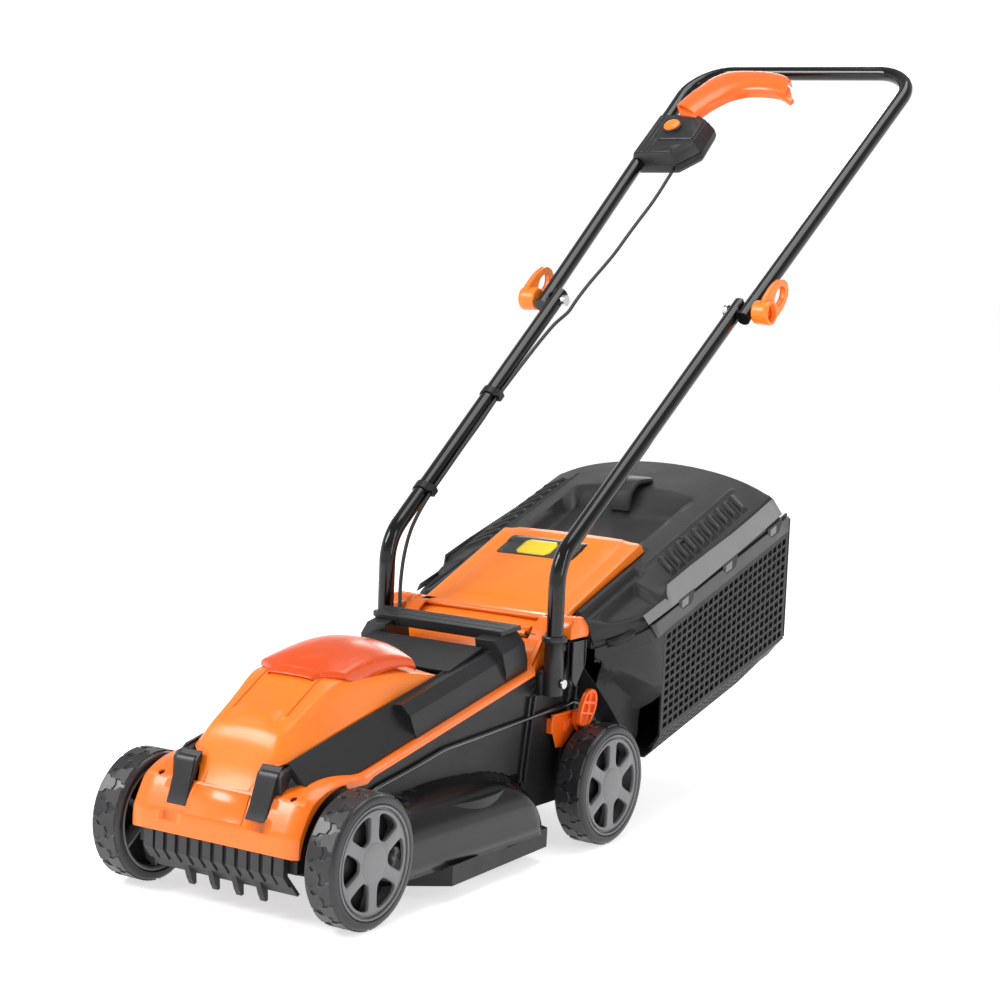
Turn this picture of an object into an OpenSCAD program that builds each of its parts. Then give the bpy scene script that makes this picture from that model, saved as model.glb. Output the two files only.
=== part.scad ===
// Push lawn mower: cordless rotary mower with a rear grass box and a folding handle.
// The front faces -Y and the handle +Y, +X is the operator's left, and Z = 0 is the ground.
// Shapes are laid out with Y = 0 midway between the axles; place() then moves them so that the
// origin is on the ground under the middle of the whole machine.

/* [Wheels] */
// Outer diameter of each wheel
wheel_d = 160; // [158:1:162]
// Width of a tyre
tyre_w = 44; // [42:1:45]
// Distance between the front and rear wheel centres
wheelbase = 523; // [521:1:525]
// Distance between the middles of the left and right tyres
track = 321; // [321:1:323]

/* [Body] */
// Half the width of the orange cover
cover_x = 125; // [124:1:125]
// Half the width of the deck's side walls
side_x = 118; // [117:1:118]
// Height of the orange sill at the middle of the machine
sill_z = 200.5; // [200:0.5:201]
// Slope of the sill, rising to the rear
sill_slope = 12.27; // [12.2:0.01:12.3]
// Wall thickness of the plastic shells
wall = 3; // [2.8:0.1:3.2]

/* [Cutting] */
// Cutting circle of the blade
blade_d = 330; // [300:5:332]
// Height of the blade above the ground
blade_z = 42; // [38:1:46]

/* [Handle] */
// Outer diameter of the handle tubes
tube_d = 22; // [21:0.5:22]
// Distance of the fold pivot behind the middle of the machine
fold_y = 597; // [595:1:600]
// Height of the fold pivot
fold_z = 698; // [696:1:700]
// Length of the upper handle from the fold pivot to its top bar
upper_len = 598; // [590:1:602]
// Slope of the upper handle
handle_slope = 37.55; // [37.4:0.05:37.7]

/* [Grass box] */
// Half the width of the grass box
box_x = 190; // [188:1:190]

/* [Hidden] */

$fn = 72;
eps = 0.01;
wheel_r = wheel_d / 2;
tube_r = tube_d / 2;
front_y = -wheelbase / 2;
rear_y = wheelbase / 2;
// Running clearance on radius between a shaft and its bore
run = 0.05;
// Gap between shells that lie on each other
lap = 0.3;

// Height-adjuster cranks: the wheels' stub axles sit ahead of and above their pivots
crank_y = 37.6;
crank_z = 13.7;
pivot_z = wheel_r - crank_z;
front_pivot_y = front_y + crank_y;
rear_pivot_y = rear_y + crank_y;
axle_r = 5;
stub_r = 6;
bush_r = 9;
// Pins of the link rod, from each crank's pivot
rod_pin_y = 25;
rod_pin_z = 70;

blade_y = -25;
chamber_r = 168;
deck_plate_z = 108;

// Folding handle
fold_x_low = 149.9;
fold_x_up = 167.5;
bar_x = 195;
bend_y = 177;
bend_z = 380;
bend_x = 135.2;
bend_r = 65;
tube_wall = 1.4;
// Angle by which a bend overlaps the straight tube at each end
bend_lap = 1;
bolt_r = 4;

flap_y = 197;
flap_z = 286;
flap_slope = 22.64;
box_slope = 19.8;
box_top_y = 650;
box_top_z = 463;

// The whole machine's middle in Y, between the front tyres and the top bar
mid_y = (fold_y + cos(handle_slope) * upper_len + tube_r + front_y - wheel_r) / 2;

// ---- helpers -------------------------------------------------------------------------------

module place() {
  translate([0, -mid_y, 0])
    children();
}

// Extrudes a (Y, Z) outline across the machine, centred on X = 0
module across(w) {
  rotate([90, 0, 90])
    linear_extrude(w, center = true)
      children();
}

// Extrudes an (X, Z) outline from y0 to y1
module along(y0, y1) {
  translate([0, y1, 0])
    rotate([90, 0, 0])
      linear_extrude(y1 - y0)
        children();
}

module both_sides() {
  children();
  mirror([1, 0, 0])
    children();
}

// A cylinder along X from x0 to x1
module xcyl(x0, x1, r, y = 0, z = 0) {
  translate([x0, y, z])
    rotate([0, 90, 0])
      cylinder(h = x1 - x0, r = r);
}

// Body frame: Y runs up the sloping sill
module on_sill() {
  translate([0, 0, sill_z])
    rotate([sill_slope, 0, 0])
      children();
}

// Handle frame: origin between the fold pivots, Y up the handle, Z off its upper side
module on_handle() {
  translate([0, fold_y, fold_z])
    rotate([handle_slope, 0, 0])
      children();
}

module on_flap() {
  translate([0, flap_y, flap_z])
    rotate([flap_slope, 0, 0])
      children();
}

// Grass box frame: origin at the crown of its top, Y up the slope of the top
module on_box() {
  translate([0, box_top_y, box_top_z])
    rotate([box_slope, 0, 0])
      children();
}

function sill(y) = sill_z + tan(sill_slope) * y;
function unit(v) = v / norm(v);

// Points of an arc, and the outline of a flat link with round ends
function arc(c, r, a0, a1) =
  [for (a = [0:8]) c + r * [cos(a0 + (a1 - a0) * a / 8), sin(a0 + (a1 - a0) * a / 8)]];
function link(a, b, r) =
  let (d = atan2(b[1] - a[1], b[0] - a[0]))
  concat(arc(b, r, d - 90, d + 90), arc(a, r, d + 90, d + 270));

// Puts children with their Z axis along dir and their X axis along side
module aim(origin, dir, side) {
  z = unit(dir);
  x = unit(side - (side * z) * z);
  y = cross(z, x);
  multmatrix([
    [x[0], y[0], z[0], origin[0]],
    [x[1], y[1], z[1], origin[1]],
    [x[2], y[2], z[2], origin[2]],
    [0, 0, 0, 1]
  ])
    children();
}

module tube_ring(outer, inner) {
  difference() {
    circle(outer);
    circle(inner);
  }
}

// A straight length of tube between two points
module tube_run(a, b, side = [1, 0, 0]) {
  aim(a, b - a, side)
    linear_extrude(norm(b - a))
      tube_ring(tube_r, tube_r - tube_wall);
}

// Distance from a corner to where a bend of radius r starts
function bend_setback(a, corner, b, r) =
  r * tan(acos(unit(corner - a) * unit(b - corner)) / 2);
function bend_start(a, corner, b, r) = corner - unit(corner - a) * bend_setback(a, corner, b, r);
function bend_end(a, corner, b, r) = corner + unit(b - corner) * bend_setback(a, corner, b, r);

// The bent length of tube that rounds a corner of the route a, corner, b. Its wall is a hair
// thicker than the straight lengths' and it overlaps them a little.
module tube_bend(a, corner, b, r) {
  u = unit(corner - a);
  v = unit(b - corner);
  turn = acos(u * v);
  inward = unit(v - (u * v) * u);
  start = bend_start(a, corner, b, r);
  aim(start + inward * r, cross(u, inward), -inward)
    rotate([0, 0, -bend_lap])
      rotate_extrude(angle = turn + 2 * bend_lap)
        translate([r, 0])
          tube_ring(tube_r + run, tube_r - tube_wall - run);
}

// ---- wheels and height adjustment ----------------------------------------------------------

module tyre(x, y) {
  color("dimgray")
    place()
      translate([x, y, wheel_r])
        rotate([0, 90, 0])
          difference() {
            union() {
              cylinder(h = tyre_w - 8, r = wheel_r, center = true);
              cylinder(h = tyre_w, r = wheel_r - 5, center = true);
            }
            cylinder(h = tyre_w + 1, r = hub_r, center = true);
          }
}

hub_r = 67;
hub_back = -23;
hub_boss = 14.2;
module hub(x, y) {
  out = x > 0 ? 1 : -1;
  color("silver")
    place()
      translate([x, y, wheel_r])
        rotate([0, 90 * out, 0])
          difference() {
            union() {
              difference() {
                cylinder(h = tyre_w - 2, r = hub_r - run, center = true);
                cylinder(h = tyre_w, r = hub_r - 5, center = true);
              }
              // face with six windows
              translate([0, 0, 15])
                difference() {
                  cylinder(h = 4, r = hub_r - 4);
                  translate([0, 0, -1])
                    cylinder(h = 6, r = 19);
                  for (i = [0:5])
                    rotate([0, 0, 60 * i + 30])
                      translate([0, 0, -1])
                        linear_extrude(6)
                          polygon([[27, -5], [53, -17], [57, -9], [57, 9], [53, 17], [27, 5]]);
                }
              // domed cap over the axle's end
              difference() {
                translate([0, 0, 12])
                  cylinder(h = 10.6, r = 22);
                translate([0, 0, 11])
                  cylinder(h = 8.8, r = 17);
              }
              translate([0, 0, hub_back])
                cylinder(h = hub_boss - hub_back, r = 12);
              for (i = [0:5])
                rotate([0, 0, 60 * i])
                  translate([10, -2, -10])
                    cube([hub_r - 14, 4, 26]);
            }
            translate([0, 0, 2 * hub_back])
              cylinder(h = hub_boss - 2 * hub_back + 0.1, r = stub_r + run);
            translate([0, 0, hub_boss])
              cylinder(h = 4, r = 16.5);
          }
}

arm_x0 = 126;
arm_x1 = 131;
arm_r = 11;
module crank_axle(pivot_y, left_end) {
  pivot = [pivot_y, pivot_z];
  wheel = [pivot_y - crank_y, wheel_r];
  pin = [pivot_y + rod_pin_y, pivot_z + rod_pin_z];
  xcyl(-arm_x1 + 1, left_end, axle_r, pivot[0], pivot[1]);
  both_sides() {
    xcyl(arm_x0 + 1, track / 2 + hub_boss + 3.3, stub_r, wheel[0], wheel[1]);
    xcyl(arm_x0 + 2, track / 2 + hub_back - 0.5, 9, wheel[0], wheel[1]);
  }
  translate([-(arm_x0 + arm_x1) / 2, 0, 0])
    across(arm_x1 - arm_x0)
      polygon(link(pivot, wheel, arm_r));
  // the left arm also carries the link rod's pin
  translate([(arm_x0 + arm_x1) / 2, 0, 0])
    across(arm_x1 - arm_x0) {
      polygon(link(pivot, wheel, arm_r));
      polygon(link(pivot, pin, 7));
    }
  xcyl(side_x + 0.6, arm_x0 + 2, 3, pin[0], pin[1]);
}

module front_axle() {
  color("darkgray")
    place()
      crank_axle(front_pivot_y, arm_x1 - 1);
}

module rear_axle() {
  color("darkgray")
    place()
      crank_axle(rear_pivot_y, lever_x1 - 1);
}

rod_r = 2.5;
rod_x = 121.2;
lever_x1 = 136.2;

// Direction of the route at point i, and the outline of a strip of half-width r along it
function route_dir(p, i) = unit(unit(p[min(i + 1, len(p) - 1)] - p[i - (i == len(p) - 1 ? 1 : 0)])
  + unit(p[max(i, 1)] - p[max(i, 1) - 1]));
function strip(p, r) = concat(
  [for (i = [0:len(p) - 1]) p[i] + r * [-route_dir(p, i)[1], route_dir(p, i)[0]]],
  [for (i = [len(p) - 1:-1:0]) p[i] - r * [-route_dir(p, i)[1], route_dir(p, i)[0]]]
);

module link_rod() {
  front_pin = [front_pivot_y + rod_pin_y, pivot_z + rod_pin_z];
  rear_pin = [rear_pivot_y + rod_pin_y, pivot_z + rod_pin_z];
  route = [front_pin, [-172, 143], [-64, 168], [36, 174], [145, 180], [228, 188], rear_pin];
  color("gainsboro")
    place()
      difference() {
        union() {
          translate([rod_x, 0, 0])
            across(2 * rod_r)
              polygon(strip(route, rod_r));
          for (p = [front_pin, rear_pin])
            xcyl(rod_x - rod_r + 0.1, rod_x + rod_r - 0.1, 6.5, p[0], p[1]);
        }
        for (p = [front_pin, rear_pin])
          xcyl(rod_x - 10, rod_x + 10, 3 + run, p[0], p[1]);
      }
}

// The lever is fixed to the rear axle's left crank and ends in a latticed thumb paddle
module height_lever() {
  x0 = arm_x1 + 0.1;
  paddle = [150, 238, 172];
  color("orangered")
    place()
      difference() {
        union() {
          xcyl(x0, lever_x1, 12, rear_pivot_y, pivot_z);
          translate([(x0 + lever_x1) / 2, 0, 0])
            across(lever_x1 - x0)
              polygon([
                [rear_pivot_y - 10, pivot_z], [rear_pivot_y + 9, pivot_z + 6],
                [rear_pivot_y + 2, pivot_z + 50],
                [262, 178], [238, 178]
              ]);
          translate([(x0 + 165) / 2, 0, 0])
            across(165 - x0)
              polygon([[236, 172], [262, 172], [262, 180], [236, 178]]);
          // paddle with a lattice of ribs
          translate(paddle)
            rotate([14, 0, 0]) {
              difference() {
                across(30)
                  polygon([[0, -2], [24, -2], [30, 20], [24, 38], [12, 40], [0, 26]]);
                translate([4, 0, 0])
                  across(30)
                    polygon([[4, 2], [21, 2], [26, 20], [21, 34], [14, 36], [4, 25]]);
              }
              for (z = [12, 24])
                translate([-14, 2, z])
                  cube([28, 25, 2]);
              translate([-14, 13, 0])
                cube([28, 2, 38]);
            }
        }
        xcyl(x0 - 20, x0 + 20, axle_r + run, rear_pivot_y, pivot_z);
      }
}

// Notched guide plate beside the lever
module lever_plate() {
  color("firebrick")
    place()
      difference() {
        union() {
          translate([side_x + 6.9, 0, 0])
            across(1.6)
              polygon([[151, 172], [154, 150], [160, 138], [200, 138], [206, 152], [208, 172], [180, 175]]);
          translate([side_x + 3.85, 0, 0])
            across(7.5)
              polygon([[160, 143], [160, 136], [200, 136], [200, 143]]);
        }
        for (i = [0:4])
          translate([side_x + 3, 158 + 10 * i, 166])
            cube([12, 4, 12]);
      }
}

module axle_bushes() {
  color("black")
    place()
      for (y = [front_pivot_y, rear_pivot_y])
        both_sides()
          difference() {
            union() {
              xcyl(side_x - 12, side_x + 1, bush_r - run, y, pivot_z);
              xcyl(side_x, arm_x0 - 0.3, bush_r + 2, y, pivot_z);
            }
            xcyl(side_x - 20, side_x + 20, axle_r + run, y, pivot_z);
          }
}

clip_x = track / 2 + hub_boss + 0.5;
module axle_clips(y) {
  color("gainsboro")
    place()
      both_sides()
        difference() {
          xcyl(clip_x, clip_x + 1.5, 10, y, wheel_r);
          xcyl(clip_x - 5, clip_x + 5, stub_r + 0.01, y, wheel_r);
        }
}

// ---- chassis -------------------------------------------------------------------------------

// Side view of the deck's walls
deck_side = [
  [-322.2, 66], [-322.2, 104], [-308, 134], [-284, 150], [-241, 154], [-205, 151],
  [-190, sill(-190) - 1], [160, sill(160) - 1], [186, 236], [236, 226], [262, 198], [300, 140], [320, 95],
  [320, 50], [280, 50], [262, 56], [-272, 56], [-290, 66]
];

// Plan of the housing around the blade
module housing_plan(g) {
  intersection() {
    translate([g - 177, g - 168])
      square([354 - 2 * g, 330 - 2 * g]);
    translate([0, -60])
      circle(r = 235 - g, $fn = 144);
  }
}

// Cross-section of the housing, with rounded shoulders
module housing_section(g) {
  polygon([
    [g - 177, 40], [g - 177, 82], [g - 174, 95 - g / 4], [g - 167, 106 - g / 2], [g / 2 - 155, 116 - g],
    [-140, 122.5 - g], [-122, 126.5 - g], [-100, 130 - g], [100, 130 - g], [122, 126.5 - g],
    [140, 122.5 - g], [155 - g / 2, 116 - g], [167 - g, 106 - g / 2], [174 - g, 95 - g / 4],
    [177 - g, 82], [177 - g, 40]
  ]);
}

// Domed top of the housing, turned about an axis a little in front of the blade
housing_y = -60;
module housing_dome(g) {
  translate([0, housing_y, 0])
    rotate_extrude($fn = 144)
      polygon([
        [0, 20], [237 - g, 20], [237 - g, 58], [235 - g, 66], [231 - g, 76 - g / 4], [225.5 - g, 86 - g / 2],
        [217 - g, 96 - g / 2], [206 - g, 105 - g / 2], [193 - g, 113 - g], [178 - g, 118.5 - g],
        [160 - g, 123 - g], [140 - g, 126 - g], [120, 130 - g], [0, 130 - g]
      ]);
}

// Grass chute from the blade chamber to the grass box
module chute_profile(grow) {
  polygon([
    [40, 64 - grow], [120, 68 - grow], [322 + grow, 112 - grow], [322 + grow, 116], [252 + grow, 232 + grow],
    [245, 236 + grow], [150, 180 + grow], [70, 122 + grow], [40, 104 + grow]
  ]);
}

module deck() {
  color("#2b2b2d")
    place()
      difference() {
        union() {
          // side walls and the front wall
          difference() {
            across(2 * side_x)
              polygon(deck_side);
            across(2 * side_x - 8)
              polygon([[-318, 40], [-318, 300], [400, 300], [400, 40]]);
          }
          // housing over the blade
          intersection() {
            along(-200, 200)
              housing_section(0);
            translate([0, 0, 44])
              linear_extrude(140)
                housing_plan(0);
            housing_dome(0);
          }
          translate([0, blade_y, 22])
            cylinder(h = 90, r = chamber_r + 4, $fn = 144);
          // flared skirt at each side
          both_sides()
            translate([0, 0, 20])
              linear_extrude(25)
                polygon([[140, -140], [166, -118], [182, -104], [166, 130], [140, 142]]);
          // walls of the grass chute
          across(206)
            chute_profile(wall);
          // beam under the front of the cover
          translate([-side_x, front_pivot_y - 20, 50])
            cube([2 * side_x, 6, 60]);
          for (y = [front_pivot_y, rear_pivot_y])
            both_sides()
              xcyl(side_x - 12, side_x - 1, bush_r + 5, y, pivot_z);
        }
        // blade chamber
        translate([0, blade_y, 10])
          cylinder(h = deck_plate_z - 10, r = chamber_r, $fn = 144);
        intersection() {
          translate([0, 0, 10])
            linear_extrude(deck_plate_z - 10)
              housing_plan(4);
          along(-150, 140)
            housing_section(4);
        }
        both_sides()
          intersection() {
            translate([side_x, -164, 40])
              cube([100, 310, 140]);
            along(-200, 200)
              housing_section(4);
            linear_extrude(200)
              housing_plan(4);
            housing_dome(4);
          }
        // inside of the grass chute
        across(200)
          chute_profile(0);
        // hollow above the blade plate
        across(2 * side_x - 8)
          polygon([
            [-317, 112], [-317, 300], [160, 300], [160, 190], [150, 188], [70, 130], [40, 112]
          ]);
        // bearings for the axles
        for (y = [front_pivot_y, rear_pivot_y])
          xcyl(-200, 200, bush_r, y, pivot_z);
        // motor boss
        translate([0, blade_y, 90])
          cylinder(h = 60, r = 14);
        // bolts of the handle sockets
        xcyl(-200, 200, 3, bend_y, 222);
      }
}

comb_pitch = 18;
module comb_bar(w) {
  across(w)
    polygon([[-331, 85], [-331, 63], [-319, 48], [-315, 50], [-326, 63], [-326, 85]]);
}

module front_comb() {
  color("#38383b")
    place() {
      across(210)
        polygon([[-327, 85], [-327, 61], [-303, 35], [-299, 37], [-322.5, 63], [-322.5, 85]]);
      for (i = [0:9])
        translate([(i - 4.5) * comb_pitch, 0, 0])
          comb_bar(comb_pitch - 6);
      both_sides()
        translate([98, 0, 0])
          comb_bar(14);
      // curved tines
      for (i = [-3:2:3])
        translate([i * comb_pitch, 0, 0])
          across(8)
            polygon([[-321, 56], [-313, 44], [-307, 28], [-302, 20], [-298, 21], [-299, 36], [-303, 42]]);
    }
}

// Side view of the orange cover: nose, wheel humps, sloping ledge and the bridge at the rear
cover_nose = [
  [-336, 86], [-334, 110], [-312, 148], [-298, 156], [-284, 161], [-262, 165], [-241, 165],
  [-220, 163.4], [-200, 163]
];
cover_bridge = [[150, sill(150) + 6], [188, 282], [196, 292], [206, 298], [216, 300], [240, 300]];
arch_y = -245;
arch_z = 76;
arch_r = 82;

module cover_outline() {
  polygon(concat(
    cover_nose,
    cover_bridge,
    [[240, 264], [196, 250], [160, sill(160)], [-196, sill(-196)], [-196, 86]]
  ));
}

module cover_hollow() {
  polygon([
    [-333, 80], [-331, 109], [-310, 145], [-297, 153], [-283, 158], [-262, 162], [-241, 162],
    [-220, 160.4], [-200, 160], [150, sill(150) + 3], [186, 279], [194, 289], [205, 295],
    [216, 297], [237, 297], [237, 80]
  ]);
}

module top_cover() {
  color("#ff7a18")
    place()
      difference() {
        union() {
          difference() {
            across(2 * cover_x)
              cover_outline();
            across(2 * cover_x - 2 * wall)
              cover_hollow();
            // opening under the hood and the shroud
            translate([-72, -309, 90])
              cube([144, 449, 300]);
          }
          // rear corner blocks
          both_sides()
            translate([132, 0, 0])
              across(30)
                polygon([[204, 262], [204, 284], [212, 299], [236, 299], [242, 290], [242, 262]]);
          // ears that hold the flap's hinge pin
          both_sides()
            translate([96, 0, 0])
              across(8)
                polygon([[182, 268], [182, 288], [192, 288], [192, 268]]);
        }
        // wheel arches
        xcyl(-150, 150, arch_r, arch_y, arch_z);
        across(300)
          polygon([[arch_y, 80], [arch_y, 153.5], [-192, 153.5], [-186, 80]]);
        // room for the handle tubes and their sockets
        both_sides()
          translate([bend_x, bend_y, 200])
            cylinder(h = 120, r = 19);
        // slot for the flap's knuckles and hinge pin
        translate([-90, 180, 262])
          cube([180, 32, 60]);
        // seat of the flap, with room for its front edge to swing up
        difference() {
          translate([-113.5, 190, 284])
            cube([227, 70, 60]);
          xcyl(-120, 120, 19.3, 187, 278);
        }
        xcyl(-150, 150, 2.05, 187, 278);
        // seat of the cable's grommet
        translate([grommet_x, grommet_y, 200])
          cylinder(h = 100, r = 7.8);
        // screw holes
        both_sides() {
          translate([99, -307, 148])
            rotate([30, 0, 0])
              cylinder(h = 14, r = 4, center = true);
          translate([130, 223, 285])
            cylinder(h = 30, r = 4);
        }
      }
}

// Outer shape of the hood, grown by g
module hood_shape(g) {
  hull() {
    across(104 + 2 * g)
      polygon([
        [-310.5 - g, 144], [-306 - g, 162], [-300 - g, 178], [-290 - g, 197 + g], [-277 - g, 215 + g],
        [-262, 227 + g], [-201, 261.5 + g], [-8 + g, 248 + g], [-8 + g, 220], [-250, 150]
      ]);
    across(126 + 2 * g)
      polygon([[-172, 256 + g], [-8 + g, 247 + g], [-8 + g, 220], [-172, 220]]);
    across(152 + 2 * g)
      polygon([
        [-300 - g, 158], [-300 - g, 176 + g], [-8 + g, 244 + g], [-8 + g, 220]
      ]);
  }
}

module hood() {
  color("#ff8420")
    place()
      difference() {
        intersection() {
          hood_shape(0);
          // the hood's lower edge, from the nose up along the shroud
          across(400)
            polygon([
              [-345, 150], [-345, 420], [-6, 420], [-6, 244.5], [-200, 201], [-299, 177.5],
              [-305, 160], [-307, 150]
            ]);
        }
        hood_shape(-wall);
        // battery bay opening under the lid
        translate([-46, -176, 150])
          cube([92, 150, 200]);
      }
}

module lid_shape(g) {
  intersection() {
    across(200)
      polygon([
        [-200 + g, 263], [-190 + g, 273 - g], [-165, 285 - g], [-135, 294.5 - g], [-100, 298 - g],
        [-65, 296 - g], [-30, 286 - g], [0 - g, 270 - g], [8 - g, 262 - g], [8 - g, 249.5],
        [-8, 249.2], [-172, 260.6], [-201, 263]
      ]);
    along(-220, 30)
      polygon([
        [-74 + g, 200], [-74 + g, 258], [-67 + g, 272 - g], [-52, 284 - g], [-30, 294 - g],
        [0, 298.5 - g], [30, 294 - g], [52, 284 - g], [67 - g, 272 - g], [74 - g, 258], [74 - g, 200]
      ]);
    linear_extrude(400)
      polygon([
        [g - 37, g - 200], [37 - g, g - 200], [66 - g, g - 171], [70 - g, -60], [74 - g, 9 - g],
        [g - 74, 9 - g], [g - 70, -60], [g - 66, g - 171]
      ]);
  }
}

// Axis that the battery lid turns on
lid_hinge_y = 6;
lid_hinge_z = 256;
module battery_lid() {
  color([0.9, 0.25, 0.08, 0.6])
    place()
      difference() {
        union() {
          translate([0, 0, lap])
            difference() {
              lid_shape(0);
              lid_shape(2.5);
            }
          both_sides()
            xcyl(40, 60, 2.8, lid_hinge_y, lid_hinge_z);
        }
        // bore of the hinge pins
        xcyl(-80, 80, 1, lid_hinge_y, lid_hinge_z);
      }
}

module battery_pack() {
  color("#1e1e20")
    place() {
      translate([-38, -164, 192])
        cube([76, 116, 52]);
      translate([-28, -158, 244])
        cube([56, 70, 12]);
    }
}

module safety_key() {
  color("red")
    place() {
      translate([-8, -34, 218])
        cube([16, 4, 30]);
      translate([0, -32, 250])
        rotate([90, 0, 0])
          cylinder(h = 6, r = 9, center = true);
    }
}

module battery_tray() {
  color("#303033")
    place()
      difference() {
        translate([-44, -170, 172])
          cube([88, 146, 46]);
        translate([-39, -165, 176])
          cube([78, 118, 60]);
        translate([-9, -35, 200])
          cube([18, 6, 60]);
      }
}

module controller_box() {
  color("darkgreen")
    place()
      translate([-40, -250, 130])
        cube([80, 60, 28]);
}

module motor() {
  color("silver")
    place() {
      difference() {
        translate([0, blade_y, 116])
          cylinder(h = 54, r = 40);
        translate([0, blade_y, 100])
          cylinder(h = 66, r = 5 + run);
        for (a = [0:45:315])
          translate([0, blade_y, 0])
            rotate([0, 0, a])
              translate([34, -3, 140])
                cube([20, 6, 18]);
      }
    }
}

module motor_plate() {
  color("gray")
    place()
      difference() {
        translate([0, blade_y, 112])
          cylinder(h = 4, r = 58);
        translate([0, blade_y, 100])
          cylinder(h = 30, r = 7);
      }
}

module motor_shaft() {
  color("gainsboro")
    place()
      translate([0, blade_y, 60])
        cylinder(h = 104, r = 5);
}

module blade_carrier() {
  color("#303033")
    place()
      translate([0, blade_y, blade_z + 4])
        difference() {
          union() {
            cylinder(h = 28, r = 14);
            cylinder(h = 5, r = 45);
            for (a = [0:60:300])
              rotate([0, 0, a])
                translate([12, -1.5, 0])
                  cube([32, 3, 20]);
          }
          translate([0, 0, 14])
            cylinder(h = 30, r = 5);
          translate([0, 0, -1])
            cylinder(h = 20, r = 4);
        }
}

module blade() {
  color("lightgray")
    place()
      translate([0, blade_y, blade_z])
        difference() {
          union() {
            intersection() {
              translate([-blade_d / 2, -24, 0])
                cube([blade_d, 48, 4]);
              cylinder(h = 4, r = blade_d / 2);
            }
            for (a = [0, 180])
              rotate([0, 0, a])
                translate([blade_d / 2 - 62, 12, 3.5])
                  rotate([35, 0, 0])
                    cube([50, 22, 3]);
          }
          translate([0, 0, -1])
            cylinder(h = 10, r = 4);
        }
}

module blade_bolt() {
  color("gainsboro")
    place()
      translate([0, blade_y, blade_z]) {
        translate([0, 0, -8])
          cylinder(h = 8, r = 9, $fn = 6);
        translate([0, 0, -1.5])
          cylinder(h = 1.5, r = 14);
        cylinder(h = 17.5, r = 4 - run);
      }
}

// ---- shroud over the body ------------------------------------------------------------------

module pod_profile(g) {
  polygon([[82 + g, 4], [82 + g, 45 - g], [95, 47 - g], [107 - g, 34], [113 - g, 6.3], [113 - g, 4]]);
}

module rear_pod_profile(g) {
  polygon([
    [71 + g, 4], [71 + g, 61 - g], [100 - g / 2, 61 - g], [112 - g, 44 - g / 2], [115 - g, 20],
    [113 - g, 4]
  ]);
}

module shroud() {
  color("#2c2c2e")
    place()
      difference() {
        union() {
          both_sides() {
            // strip down the nose
            translate([60, 0, 0])
              across(29)
                polygon([
                  [-327, 122], [-309, 171], [-300, 180], [-262, 189], [-262, 182], [-298, 172],
                  [-304, 165], [-311.5, 149.6]
                ]);
            // knuckle between the strip and the arm
            translate([76, 0, 0])
              across(10)
                polygon([[-310, 150], [-309, 171], [-303, 176.5], [-278, 182.5], [-278, 160], [-300, 150]]);
            on_sill() {
              // sloping arm from the nose to the pods
              along(-290, 100)
                polygon([[72, 44], [77, 47], [111, 10], [111, 6.3], [104, 6.3], [74, 40]]);
              // pods on each side
              difference() {
                along(-92, 104)
                  pod_profile(0);
                along(-89, 101)
                  pod_profile(wall);
              }
              difference() {
                along(104, 154)
                  rear_pod_profile(0);
                along(107, 151)
                  rear_pod_profile(wall);
              }
            }
          }
          // pad between the pods
          on_sill()
            translate([-84, 24, 43])
              rotate([4, 0, 0])
                difference() {
                  cube([168, 76, 4]);
                  translate([-1, -1, -10])
                    cube([12, 10, 20]);
                }
        }
        hood_shape(lap);
        // the shroud ends on the ledge of the cover
        on_sill()
          translate([-200, -250, -60])
            cube([400, 500, 66.3]);
        across(400)
          polygon(concat(
            [[-500, 0], [-500, 86]],
            [for (p = cover_nose) p + [-0.2, 0.3]],
            [[-200, sill(-200) + 6.3], [-200, 0]]
          ));
      }
}

module carry_handle() {
  color("#39393c")
    place()
      on_sill()
        difference() {
          union() {
            translate([0, 0, 61.3])
              linear_extrude(6)
                polygon([[-100, 122], [-110, 152], [110, 152], [100, 122]]);
            translate([-70.6, 122, 54])
              cube([141.2, 30, 8]);
          }
          for (i = [-1, 1])
            translate([-100, 137 + 6 * i - 1, 65.3])
              cube([200, 2, 5]);
          translate([-66, 126, 40])
            cube([132, 22, 18]);
        }
}

// ---- handle --------------------------------------------------------------------------------

socket_z0 = 205;
socket_z1 = 266;

module socket() {
  difference() {
    union() {
      translate([bend_x, bend_y, socket_z0])
        cylinder(h = socket_z1 - socket_z0, r = 13.8);
      translate([bend_x, bend_y, socket_z1 - 7])
        cylinder(h = 7, r = 16.6);
      // foot that bolts to the deck's side wall
      translate([side_x, bend_y - 14, socket_z0])
        cube([12, 28, 30]);
    }
    translate([bend_x, bend_y, socket_z0 + 6])
      cylinder(h = 100, r = tube_r + run);
    xcyl(100, 160, 3, bend_y, 222);
  }
}

module socket_left() {
  color("#222224")
    place()
      socket();
}

module socket_right() {
  color("#222224")
    place()
      mirror([1, 0, 0])
        socket();
}

module socket_screws() {
  color("gainsboro")
    place()
      both_sides() {
        xcyl(bend_x + 15.1, bend_x + 18.1, 6, bend_y, 222);
        xcyl(side_x, bend_x + 15.2, 3 - run, bend_y, 222);
      }
}

module cover_screws() {
  color("#303033")
    place()
      both_sides() {
        translate([99, -307, 148])
          rotate([30, 0, 0])
            translate([0, 0, -6])
              cylinder(h = 4, r = 3.8);
        translate([130, 223, 285])
          cylinder(h = 6, r = 3.8);
      }
}

low_start = [bend_x, bend_y, socket_z0 + 6.2];
low_corner = [bend_x, bend_y, bend_z];
low_pivot = [fold_x_low, fold_y, fold_z];
low_end = low_pivot + unit(low_pivot - low_corner) * 16;
crimp = 40;

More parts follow.
